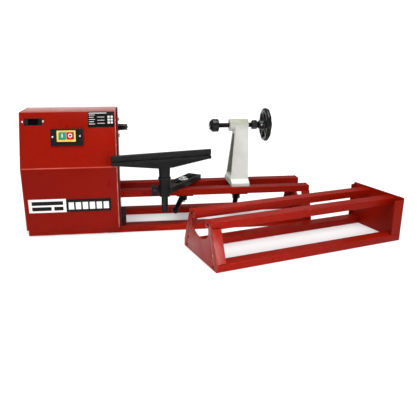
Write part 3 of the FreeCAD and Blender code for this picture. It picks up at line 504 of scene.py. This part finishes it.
LOOKS = {
    "red_paint": lambda: red_enamel("red_enamel", RED),
    "red_plate": lambda: red_enamel("red_plate", RED, specular=0.16),
    # the headstock's end plate: the same red made much darker, as painted shade
    "red_in_painted_shade": lambda: red_enamel("red_in_painted_shade", (0.060, 0.0030, 0.0012), edge_wear_and_highlight=0.5),
    "red_rail": lambda: red_enamel("red_rail", RED, edge_wear_and_highlight=0.55, streaks=0.90),
    "new_rail": lambda: red_enamel("new_rail", RED, edge_wear_and_highlight=0.55, streaks=0.30, specular=0.07),
    "red_cover": lambda: red_enamel("red_cover", RED, edge_wear_and_highlight=0.6, fold=FOLD_HEIGHT),
    "recess_painted_shade": recess_painted_shade,
    "dark_paint": dark_enamel,
    "black_paint": cast_black,
    "wheel_black": wheel_black,
    "tail_paint": tail_hammer,
    "motor_paint": lambda: plastic("motor_grey", (0.085, 0.095, 0.105), 0.42, 500.0, 0.00014),
    "steel": lambda: turned("steel", (0.40, 0.40, 0.41), 0.30),
    "black_steel": lambda: turned("black_steel", (0.024, 0.023, 0.023), 0.40),
    "post_steel": lambda: turned("post_steel", (0.026, 0.025, 0.025), 0.36, 2200.0, "Z"),
    "zinc": zinc,
    "zinc_dull": zinc_dull,
    "aluminium": lambda: turned("aluminium", (0.62, 0.63, 0.64), 0.33, 2000.0),
    "black_plastic": lambda: plastic("black_plastic", (0.0070, 0.0070, 0.0075), 0.42, specular=0.15),
    "yellow_plastic": lambda: plastic("yellow_plastic", (0.80, 0.52, 0.11), 0.30, coat=0.3),
    "green_plastic": lambda: plastic("green_plastic", (0.02, 0.25, 0.14), 0.22, coat=0.5),
    "red_plastic": lambda: plastic("red_plastic", (0.42, 0.008, 0.012), 0.22, coat=0.5),
    "label_light": lambda: film("label_light", (0.80, 0.79, 0.76)),
    "label_dark": lambda: film("label_dark", (0.0060, 0.0060, 0.0065), specular=0.10),
    "belt_rubber": belt_rubber,
}
made = {}


def look(name):
    """The material of a look, made when it is first asked for."""
    if name not in made:
        made[name] = LOOKS[name]()
    return made[name]


# a node has the look of its slot, apart from these
LOOK_OF = dict(SLOT_OF)
for node, slot in SLOT_OF.items():
    if "_rail_" in node and slot == "red_paint":
        LOOK_OF[node] = "new_rail" if node.startswith("ext_") else "red_rail"
LOOK_OF.update({
    "headstock_cover": "red_cover", "headstock_end_plate": "red_in_painted_shade",
    "joint_plate": "red_plate", "ext_joint_plate": "red_plate", "rest_post": "post_steel",
    "rest_washer": "zinc_dull", "rest_clamp_bolt": "zinc_dull", "bearing_bolts": "zinc_dull",
    "handwheel": "wheel_black", "live_centre_case": "wheel_black", "tail_lock_nut": "wheel_black",
})


# ---------------------------------------------------------------- mesh helpers

def new_object(name, bm, smooth=False):
    mesh = bpy.data.meshes.new(name)
    bm.to_mesh(mesh)
    bm.free()
    if smooth:
        mesh.polygons.foreach_set("use_smooth", [True] * len(mesh.polygons))
    piece = bpy.data.objects.new(name, mesh)
    bpy.context.scene.collection.objects.link(piece)
    return piece


def settle(piece, body, slot, look_name=None):
    """Give a piece the material of its look, or else of its slot, and its body."""
    piece.data.materials.clear()
    piece.data.materials.append(look(look_name or slot))
    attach(piece, body)


def stand_in(piece, node):
    """Put a piece in the place of a CAD node, with the node's own look and body, and hide the node."""
    settle(piece, BODY_OF[node], SLOT_OF[node], LOOK_OF[node])
    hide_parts(node)


def middle_of(node):
    """The Y and Z of the middle of a CAD node's box."""
    low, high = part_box(node)
    return (low.y + high.y) / 2, (low.z + high.z) / 2


NODE_GAP = 1e-5             # corners of a CAD node's triangles this close are one corner,
PIECE_GAP = 1e-6            # and those of a piece that is built here
FLAT_WITHIN = math.radians(0.6)


def clean_copy(node):
    """The CAD node's mesh with its triangles joined back into flat faces."""
    bm = bmesh.new()
    bm.from_mesh(NODES[node].data)
    bmesh.ops.remove_doubles(bm, verts=bm.verts, dist=NODE_GAP)
    bmesh.ops.dissolve_limit(bm, angle_limit=FLAT_WITHIN, verts=bm.verts, edges=bm.edges)
    bmesh.ops.recalc_face_normals(bm, faces=bm.faces)
    return bm


SOFT_EDGES = {      # the width of each node's rounded edges, in mm
    "headstock_cover": 2.0, "headstock_end_plate": 1.0, "belt_door": 0.8, "headstock_tray": 0.6,
    "base_rail_front": 1.8, "base_rail_back": 1.8, "bed_rail_front": 2.2, "bed_rail_back": 2.2,
    "joint_plate": 0.7, "ext_base_rail_front": 1.8, "ext_base_rail_back": 1.8,
    "ext_bed_rail_front": 2.2, "ext_bed_rail_back": 2.2, "ext_joint_plate": 0.7, "ext_end_plate": 0.8,
    "switch_plate": 0.8, "switch_bezel": 0.6, "start_button": 0.9, "stop_button": 0.9, "power_inlet": 0.6,
    "label_upper": 0.1, "label_light": 0.1, "label_dark": 0.1, "rest_clamp_plate": 1.0,
    "tail_clamp_plate": 1.0, "rest_washer": 0.5, "tail_lock_nut": 0.7, "door_hinge": 0.6,
    "bearing_bolts": 0.5, "tailstock_casting": 2.2, "tool_rest": 1.2, "banjo": 1.4,
    "live_centre_case": 0.7, "door_latch": 0.4,
}
SHARP_ANGLE = math.radians(28)      # edges that turn further than this are rounded


def soften(node, width):
    """Stand a copy with rounded edges in for a CAD node."""
    piece = new_object(node + "_rounded", clean_copy(node), smooth=True)
    bevel = piece.modifiers.new("bevel", "BEVEL")
    bevel.width = width
    bevel.segments = 3
    bevel.limit_method = "ANGLE"
    bevel.angle_limit = SHARP_ANGLE
    bevel.harden_normals = True
    bevel.use_clamp_overlap = True
    stand_in(piece, node)
    return piece


def soften_all():
    for node, width in SOFT_EDGES.items():
        piece = soften(node, width * MM)
        if node == "tailstock_casting":
            shade_pockets(piece)


def paint_nodes():
    """Give every CAD node its look, for those that keep their own shape."""
    for node, thing in NODES.items():
        thing.data.materials.clear()
        thing.data.materials.append(look(LOOK_OF[node]))


def melt(node, voxel, passes):
    """Stand a cast or moulded skin in for a CAD node."""
    cast_skin(clean_copy(node), node, voxel, passes)


def cast_skin(bm, node, voxel, passes):
    """Run solids together into one skin with small fillets, which stands in for a CAD node."""
    piece = new_object(node + "_cast", bm, smooth=True)
    skin = piece.modifiers.new("skin", "REMESH")
    skin.mode = "VOXEL"
    skin.voxel_size = voxel
    skin.use_smooth_shade = True
    ease = piece.modifiers.new("ease", "SMOOTH")
    ease.factor = 0.5
    ease.iterations = passes
    stand_in(piece, node)


# for each axis: along it, and the two directions that a turned shape's angle runs between
AXES = {"X": (Vector((1, 0, 0)), Vector((0, 1, 0)), Vector((0, 0, 1))),
        "Y": (Vector((0, 1, 0)), Vector((0, 0, 1)), Vector((1, 0, 0)))}


def circle(steps):
    """The angles of points spaced evenly round a circle."""
    return [2 * math.pi * i / steps for i in range(steps)]


def revolve(bm, stations, centre, axis="X", steps=48):
    """Add a turned shape from (along, radius) stations; radius 0 closes an end."""
    along, side, up = AXES[axis]
    centre = Vector(centre)
    rings = []
    for reach, radius in stations:
        middle = centre + along * reach
        if radius <= 0:
            rings.append([bm.verts.new(middle)])
        else:
            rings.append([bm.verts.new(middle + (side * math.cos(angle) + up * math.sin(angle)) * radius)
                          for angle in circle(steps)])
    join_rings(bm, rings)


def join_rings(bm, rings):
    """Skin a row of rings, one of which may be a single point, and close its two ends."""
    for near, far in zip(rings, rings[1:]):
        count = max(len(near), len(far))
        for i in range(count):
            j = (i + 1) % count
            corners = [near[i % len(near)], near[j % len(near)], far[j % len(far)], far[i % len(far)]]
            unique = []
            for corner in corners:
                if corner not in unique:
                    unique.append(corner)
            if len(unique) > 2:
                bm.faces.new(unique)
    for ring in (rings[0], rings[-1]):
        if len(ring) > 2:
            bm.faces.new(ring)


def join_loop(bm, rings):
    """Skin equal rings that run round in a closed loop."""
    count = len(rings[0])
    for near, far in zip(rings, rings[1:] + rings[:1]):
        for k in range(count):
            j = (k + 1) % count
            bm.faces.new((near[k], near[j], far[j], far[k]))


STEEP = 0.9                 # a tube that climbs more than this share of its run counts as upright


def tube(bm, points, radius_at, steps=12):
    """Add a tube along points, with a radius that may change along it."""
    rings = []
    last = len(points) - 1
    for i, point in enumerate(points):
        run = (points[min(i + 1, last)] - points[max(i - 1, 0)]).normalized()
        side = run.orthogonal() if abs(run.z) > STEEP else run.cross(Vector((0, 0, 1)))
        side.normalize()
        up = side.cross(run)
        radius = radius_at(i / last)
        rings.append([bm.verts.new(point + (side * math.cos(angle) + up * math.sin(angle)) * radius)
                      for angle in circle(steps)])
    join_rings(bm, rings)


# ---------------------------------------------------------------- tailstock details

# the tailstock's two side pockets, in mm; its left side leans inwards above the foot
POCKET_BOX = ((175.0, 228.0), (-31.0, 29.0), (138.0, 265.0))
POCKET_REACH = 32.0         # the half width of the pockets at the foot
POCKET_LEAN = 0.13          # what each side loses for each mm of height
LEFT_SIDE = (176.3, 0.0942)     # where it stands at the pockets' foot, and its run for each mm of height
POCKET_MARGIN = 1.5         # faces this far inside the left side are in the pocket


def shade_pockets(piece):
    """Give the faces inside the tailstock's pockets their own darker material, as painted shade."""
    piece.data.materials.append(look("recess_painted_shade"))
    foot = POCKET_BOX[2][0]
    left, lean = LEFT_SIDE
    for face in piece.data.polygons:
        x, y, z = (value / MM for value in face.center)
        inside = all(low < value < high for value, (low, high) in zip((x, y, z), POCKET_BOX))
        deep = x > left + lean * (z - foot) + POCKET_MARGIN
        if inside and deep and abs(y) < POCKET_REACH - POCKET_LEAN * (z - foot):
            face.material_index = 1


WHEEL_RIM = 41.7 * MM
WHEEL_TUBE = 7.8 * MM
WHEEL_REACH = 23.5 * MM     # from the hub's left end to the rim's middle plane
RIM_STEPS = 120
RIM_SIDES = 20
GRIPS = 10                  # shallow dips for the fingers, round the rim
GRIP_DEPTH = 0.10           # as a share of the rim's own radius
SPOKES = 5
SPOKE_STEPS = 8
SPOKE_START = math.radians(8)
SPOKE_FROM, SPOKE_LENGTH = 9, 34            # mm; it starts that far from the wheel's axis
SPOKE_RADIUS, SPOKE_WAIST, SPOKE_DISH = 7.4, 1.7, 2.0   # mm
WHEEL_VOXEL, WHEEL_PASSES = 1.0 * MM, 5     # the grid of the cast skin, and how often it is smoothed
# the hub's outline in mm: how far along from the rim's middle plane, and its radius there
HUB = ((-23.5, 0), (-23.5, 8), (-20, 13), (-9, 14), (-5, 17), (12, 17), (16, 14.5), (18, 12), (18, 0))
SET_SCREW = ((0, 0), (0.3, 1.3), (1.4, 1.5), (1.4, 2.9), (0, 3.2), (-3, 3.2), (-3, 0))
SET_SCREW_AT = Vector((-14.5, -13.2, 2)) * MM


def in_metres(stations):
    return [(reach * MM, radius * MM) for reach, radius in stations]


def wheel_centre():
    low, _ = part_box("handwheel")
    return Vector((low.x + WHEEL_REACH, *middle_of("handwheel")))


def wheel_rim(bm, middle):
    rings = []
    for angle in circle(RIM_STEPS):
        dip = 0.5 - 0.5 * math.cos(GRIPS * angle)
        radius = WHEEL_TUBE * (1 - GRIP_DEPTH * dip)
        out = Vector((0, math.cos(angle), math.sin(angle)))
        rings.append([bm.verts.new(middle + out * (WHEEL_RIM + radius * math.cos(turn))
                                   + Vector((radius * math.sin(turn), 0, 0))) for turn in circle(RIM_SIDES)])
    join_loop(bm, rings)


def spoke_radius(share):
    """A spoke is waisted between the hub and the rim."""
    return (SPOKE_RADIUS - SPOKE_WAIST * math.sin(math.pi * min(1.0, share * 1.1))) * MM


def wheel_spoke(bm, middle, angle):
    """A spoke from inside the hub to inside the rim, dished a little to the left at the hub."""
    out = Vector((0, math.cos(angle), math.sin(angle)))
    points = []
    for i in range(SPOKE_STEPS + 1):
        share = i / SPOKE_STEPS
        dish = Vector((-SPOKE_DISH * (1 - share) * MM, 0, 0))
        points.append(middle + out * (SPOKE_FROM + SPOKE_LENGTH * share) * MM + dish)
    tube(bm, points, spoke_radius)


def handwheel():
    """A cast wheel: scalloped rim, waisted spokes that flow into it, and a stepped hub with a set screw."""
    middle = wheel_centre()
    bm = bmesh.new()
    wheel_rim(bm, middle)
    revolve(bm, in_metres(HUB), middle)
    for i in range(SPOKES):
        wheel_spoke(bm, middle, SPOKE_START + 2 * math.pi * i / SPOKES)
    cast_skin(bm, "handwheel", WHEEL_VOXEL, WHEEL_PASSES)

    screw = bmesh.new()
    revolve(screw, in_metres(SET_SCREW), middle + SET_SCREW_AT, "Y", 24)
    settle(new_object("wheel_set_screw", screw), BODY_OF["handwheel"], "zinc")


THREAD_PITCH = 2.0 * MM
THREAD_ROOT = 6.15 * MM
THREAD_STEPS = 32           # for each turn of the helix
CORE_RADIUS = THREAD_ROOT + 0.02 * MM
CORE_CHAMFER = 0.6 * MM


def tail_screw():
    """The tailstock's screw with its thread cut as a real helix round a plain core."""
    low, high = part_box("tail_screw")
    middle_y, middle_z = middle_of("tail_screw")
    crest = (high.z - low.z) / 2
    length = high.x - low.x
    turns = int(length / THREAD_PITCH) - 1
    profile = [(0.0, THREAD_ROOT), (0.35, crest), (0.60, crest), (0.95, THREAD_ROOT), (1.0, THREAD_ROOT)]
    bm = bmesh.new()
    rows = []
    for i in range(turns * THREAD_STEPS + 1):
        angle = -2 * math.pi * i / THREAD_STEPS
        start = low.x + THREAD_PITCH * i / THREAD_STEPS
        rows.append([bm.verts.new((start + THREAD_PITCH * share, middle_y + radius * math.cos(angle),
                                   middle_z + radius * math.sin(angle))) for share, radius in profile])
    for near, far in zip(rows, rows[1:]):
        for k in range(len(profile) - 1):
            bm.faces.new((near[k], far[k], far[k + 1], near[k + 1]))
    bmesh.ops.remove_doubles(bm, verts=bm.verts, dist=PIECE_GAP)
    core = [(0, 0), (0, THREAD_ROOT - CORE_CHAMFER), (CORE_CHAMFER, CORE_RADIUS),
            (length - 0.8 * MM, CORE_RADIUS), (length, THREAD_ROOT - CORE_CHAMFER), (length, 0)]
    revolve(bm, core, (low.x, middle_y, middle_z), steps=32)
    bmesh.ops.recalc_face_normals(bm, faces=bm.faces)
    piece = new_object("tail_screw_thread", bm, smooth=True)
    settle(piece, BODY_OF["tail_screw"], "steel", "black_steel")
    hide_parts("tail_screw")


# ---------------------------------------------------------------- headstock details

UPPER_TILT = 69.79          # degrees of the two front panels, from lying flat
LOWER_TILT = 94.355
TOP_EDGE_Y = -67.26 * MM
CREASE = (-119.96 * MM, FOLD_HEIGHT)


def panel(face):
    """A front panel's frame, from its top right corner: X along the bed, Y up the panel, Z out of it."""
    _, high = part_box("headstock_cover")
    if face == "upper":
        corner, tilt = (high.x, TOP_EDGE_Y, high.z), UPPER_TILT
    else:
        corner, tilt = (high.x, *CREASE), LOWER_TILT
    return Matrix.Translation(corner) @ Matrix.Rotation(math.radians(tilt), 4, "X")


# Sizes and places on the panels are in mm, in the panel's own frame.

CHAMFER = 0.15


def plate(bm, low, high, bottom, top):
    """A thin chamfered block between two corners."""
    inset = min(CHAMFER, (top - bottom) / 2)
    rings = []
    for height, pull in ((bottom, 0.0), (top - inset, 0.0), (top, inset)):
        rings.append([bm.verts.new((x * MM, y * MM, height * MM)) for x, y in (
            (low[0] + pull, low[1] + pull), (high[0] - pull, low[1] + pull),
            (high[0] - pull, high[1] - pull), (low[0] + pull, high[1] - pull))])
    join_rings(bm, rings)


# the place of each panel screw, and the height of the face that it sits on
SCREWS = ((-246.8, -25.8, 0), (-192.6, -25.1, 0), (-168.4, -68.6, 4), (-96.5, -67.4, 4))
HEAD_RADIUS = 2.7
HEAD_CROWN = 1.805          # of the dome at its middle, over HEAD_RIM
HEAD_RIM = 0.15
HEAD_DROP = 0.92            # 1 would bring the dome down to its rim
HEAD_STEPS, HEAD_ROWS = 56, 22
CROSS_HALF_WIDTH = 0.34
CROSS_REACH = 1.45
CROSS_DEPTH = 1.1           # at the middle of the head,
CROSS_RISE = 0.5            # and less by this for each mm outwards
FIRST_TURN, NEXT_TURN = 0.5, 0.9    # radians


def screw_height(u, v, share, turn):
    """Height of a screw head at a point from its middle; share is its distance out, of the radius."""
    height = HEAD_CROWN * math.sqrt(1 - HEAD_DROP * share * share) + HEAD_RIM
    one = abs(u * math.cos(turn) + v * math.sin(turn))
    other = abs(v * math.cos(turn) - u * math.sin(turn))
    if min(one, other) < CROSS_HALF_WIDTH and max(one, other) < CROSS_REACH:
        height -= CROSS_DEPTH - CROSS_RISE * max(one, other)
    return height


def cross_head_screws():
    """Domed heads with a pressed cross recess, each turned its own way."""
    bm = bmesh.new()
    for number, (x, y, lift) in enumerate(SCREWS):
        turn = FIRST_TURN + number * NEXT_TURN
        rings = []
        for row in range(HEAD_ROWS + 1):
            share = row / HEAD_ROWS
            ring = []
            for angle in circle(HEAD_STEPS):
                u, v = share * HEAD_RADIUS * math.cos(angle), share * HEAD_RADIUS * math.sin(angle)
                height = 0.0 if row == HEAD_ROWS else screw_height(u, v, share, turn)
                ring.append(bm.verts.new(((x + u) * MM, (y + v) * MM, (lift + height) * MM)))
            rings.append(ring)
        join_rings(bm, rings)
    bmesh.ops.remove_doubles(bm, verts=bm.verts, dist=PIECE_GAP)
    bm.transform(panel("upper"))
    bmesh.ops.recalc_face_normals(bm, faces=bm.faces)
    piece = new_object("panel_screw_heads", bm, smooth=True)
    settle(piece, BODY_OF["panel_screws"], "zinc")
    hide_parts("panel_screws")


START_BAR = ((-144.0, -71.2), (-141.5, -61.2))
STOP_CENTRE = Vector((-121.75, -66.3, 0))
KEY_MARK = (8.45, 8.75)     # heights of the bar's bottom and top
STOP_SECTION = ((3.4, 8.4), (3.4, 8.65), (3.6, 8.75), (5.2, 8.75), (5.4, 8.65), (5.4, 8.4))


def button_marks():
    """A raised bar on the start button and a ring on the stop button."""
    bar = bmesh.new()
    plate(bar, *START_BAR, *KEY_MARK)
    bar.transform(panel("upper"))
    settle(new_object("start_mark", bar), BODY_OF["start_button"], "label_light")

    ring = bmesh.new()
    sections = []
    for angle in circle(48):
        out = Vector((math.cos(angle), math.sin(angle), 0))
        sections.append([ring.verts.new((STOP_CENTRE + out * radius + Vector((0, 0, height))) * MM)
                         for radius, height in STOP_SECTION])
    join_loop(ring, sections)
    ring.transform(panel("upper"))
    bmesh.ops.recalc_face_normals(ring, faces=ring.faces)
    settle(new_object("stop_mark", ring), BODY_OF["stop_button"], "label_light")


RULE = (0.45, 0.62)         # heights of a rule's bottom and top, and of a block's
BLOCK = (0.45, 0.6)


def stick(bm, name, face, look_name):
    """Lay printed marks on a front panel."""
    bm.transform(panel(face))
    settle(new_object(name, bm), "frame", look_name)


def label_rules():
    """Plain rules and blank squares where a maker would print; nothing here is lettering."""
    pale = bmesh.new()
    for i in range(5):
        plate(pale, (-71.5, -10 - 6.2 * i), (-55.5 - 3.0 * (i % 2), -8.6 - 6.2 * i), *RULE)
    plate(pale, (-71.5, -5.2), (-24, -3.4), *RULE)
    for row in range(3):
        for column in range(2):
            x, y = -21.5 + 8.2 * column, -17.5 - 8.0 * row
            plate(pale, (x, y), (x + 5.6, y + 5.4), *RULE)
    for i in range(3):
        plate(pale, (-49, -16 - 8.6 * i), (-30, -14.8 - 8.6 * i), *RULE)
    stick(pale, "spec_rules", "upper", "label_light")

    blocks = bmesh.new()
    for i in range(6):
        start = -136.5 + 19.0 * i
        plate(blocks, (start, -118.8), (start + 14.4, -98.2), *BLOCK)
    stick(blocks, "dark_label_blocks", "lower", "label_light")

    ink = bmesh.new()
    for i, length in enumerate((84, 52)):
        plate(ink, (-235, -104.5 - 16 * i), (-235 + length, -93.5 - 16 * i), *BLOCK)
    plate(ink, (-176, -120.5), (-151, -109.5), *BLOCK)
    stick(ink, "light_label_bars", "lower", "label_dark")


NOSE_PITCH, NOSE_ROOT, NOSE_CREST = 1.8, 8.8, 9.5   # mm, as is the rest of the thread
NOSE_RIDGES = 6
NOSE_RIDGE = ((0.1, NOSE_ROOT), (0.8, NOSE_CREST), (1.0, NOSE_CREST), (1.7, NOSE_ROOT))
NOSE_LENGTH = 11
NOSE_THREAD = 10.9          # the stretch of the nose that the thread covers


def nose_thread():
    """The thread for a face plate on the spindle's nose, as plain ridges."""
    stations = [(0, 0), (0, NOSE_ROOT)]
    for i in range(NOSE_RIDGES):
        stations += [(NOSE_PITCH * i + reach, radius) for reach, radius in NOSE_RIDGE]
    stations += [(NOSE_THREAD, NOSE_ROOT), (NOSE_THREAD, 0)]
    _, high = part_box("spindle")
    bm = bmesh.new()
    revolve(bm, in_metres(stations), (high.x - NOSE_LENGTH * MM, *middle_of("spindle")))
    bmesh.ops.recalc_face_normals(bm, faces=bm.faces)
    settle(new_object("nose_thread", bm), BODY_OF["spindle"], "black_steel")


# ---------------------------------------------------------------- belt

BELT_CENTRES = (287.6 * MM, 112.0 * MM)     # heights of the spindle and of the motor's shaft
BELT_RADII = (39.0 * MM, 32.0 * MM)
WRAP_STEPS = 72             # round each pulley
RUN_STEPS = 60              # along each straight run
COG_DEPTHS = (4.2, 5.2)     # mm, in turn along the belt


def belt_wrap(middle_x, height, radius, start, finish):
    """Points where the belt lies on a pulley, each with its outward direction."""
    points = []
    for i in range(WRAP_STEPS + 1):
        angle = start + (finish - start) * i / WRAP_STEPS
        out = Vector((0, math.cos(angle), math.sin(angle)))
        points.append((Vector((middle_x, 0, height)) + out * radius, out))
    return points


def belt_run(start, finish):
    """Points between two others that face the same way."""
    return [(start[0].lerp(finish[0], i / RUN_STEPS), finish[1]) for i in range(1, RUN_STEPS)]


def v_belt():
    """A cogged V-belt round the pulleys, wedge-shaped in section."""
    low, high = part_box("drive_belt")
    middle_x = (low.x + high.x) / 2
    top, bottom = BELT_CENTRES
    big, small = BELT_RADII
    lean = math.asin((big - small) / (top - bottom))
    over = belt_wrap(middle_x, top, big, -lean, math.pi + lean)
    under = belt_wrap(middle_x, bottom, small, math.pi + lean, 2 * math.pi - lean)
    line = over + belt_run(over[-1], under[0]) + under + belt_run(under[-1], over[0])
    bm = bmesh.new()
    rings = []
    for i, (point, out) in enumerate(line):
        depth = COG_DEPTHS[i % 2]
        section = ((-4.6, 0.6), (4.6, 0.6), (4.5, -0.4), (2.9, -depth), (-2.9, -depth), (-4.5, -0.4))
        rings.append([bm.verts.new(point + Vector((across * MM, 0, 0)) + out * (rise * MM))
                      for across, rise in section])
    join_loop(bm, rings)
    bmesh.ops.recalc_face_normals(bm, faces=bm.faces)
    piece = new_object("v_belt", bm)
    settle(piece, BODY_OF["drive_belt"], "belt_rubber")
    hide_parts("drive_belt")


# ---------------------------------------------------------------- welds

BEAD_RADIUS = 2.2 * MM
BEAD_STEP = 1.1 * MM
BEAD_SINK = 0.3 * MM        # below the rail's face,
BEAD_OUT = 0.4 * MM         # and off the plate's
PLATE = 3 * MM
BED_RAIL = (31.4 * MM, 64.4 * MM, 93.7 * MM, 112.6 * MM)    # inner and outer side, bottom and top
BASE_RAIL = (62.0 * MM, 97.0 * MM, 18.0 * MM)               # inner and outer side, and top


def weld(bm, start, end):
    """A rippled bead along a joint."""
    count = max(8, int((end - start).length / BEAD_STEP))
    points = [start.lerp(end, i / count) for i in range(count + 1)]

    def swell(share):
        ends = min(1.0, 0.35 + 8 * share, 0.35 + 8 * (1 - share))
        ripple = 0.13 * math.sin(share * count * 1.55) + 0.05 * math.sin(share * 37)
        return BEAD_RADIUS * ends * (1 + ripple)

    tube(bm, points, swell, steps=8)


def side_welds(bm, side, plate_x, towards, base=True):
    """Beads on one side's rails where they meet a plate; towards is 1 or -1, away from the plate."""
    x = plate_x + towards * BEAD_OUT
    inner, outer, bottom, top = BED_RAIL
    low, high = sorted((side * inner, side * outer))
    weld(bm, Vector((x, low + 2 * MM, top - BEAD_SINK)), Vector((x, high - 2 * MM, top - BEAD_SINK)))
    for y in (low + BEAD_SINK, high - BEAD_SINK):
        weld(bm, Vector((x, y, bottom + 2 * MM)), Vector((x, y, top - 3 * MM)))
    if base:
        inner, outer, top = BASE_RAIL
        low, high = sorted((side * inner, side * outer))
        weld(bm, Vector((x, low + 3 * MM, top - BEAD_SINK)), Vector((x, high - 3 * MM, top - BEAD_SINK)))


def bed_welds():
    bm = bmesh.new()
    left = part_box("headstock_end_plate")[1].x
    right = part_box("joint_plate")[1].x - PLATE
    for side in (-1, 1):
        side_welds(bm, side, left, 1, base=False)
        side_welds(bm, side, right, -1)
    settle(new_object("bed_weld_beads", bm, smooth=True), "frame", "red_paint")


# the loose extension: where the middle of its left end stands, and how it is turned
EXTENSION_AT = Vector((40.0, -308.8, 0.0)) * MM
EXTENSION_TURN = math.radians(15.47)
EXTENSION_LENGTH = 558.4 * MM


def extension_welds():
    bm = bmesh.new()
    for side in (-1, 1):
        side_welds(bm, side, PLATE, 1)
        side_welds(bm, side, EXTENSION_LENGTH - PLATE, -1)
    bm.transform(Matrix.Translation(EXTENSION_AT) @ Matrix.Rotation(EXTENSION_TURN, 4, "Z"))
    settle(new_object("extension_weld_beads", bm, smooth=True), "extension", "red_paint")


# ---------------------------------------------------------------- assembly

MOULDED = ("rest_clamp_lever", "tail_clamp_lever", "banjo_lock_knob")
MOULD_VOXEL, MOULD_PASSES = 0.9 * MM, 4

studio()
paint_nodes()
soften_all()
handwheel()
tail_screw()
cross_head_screws()
button_marks()
label_rules()
nose_thread()
v_belt()
bed_welds()
extension_welds()
for moulded in MOULDED:
    melt(moulded, MOULD_VOXEL, MOULD_PASSES)
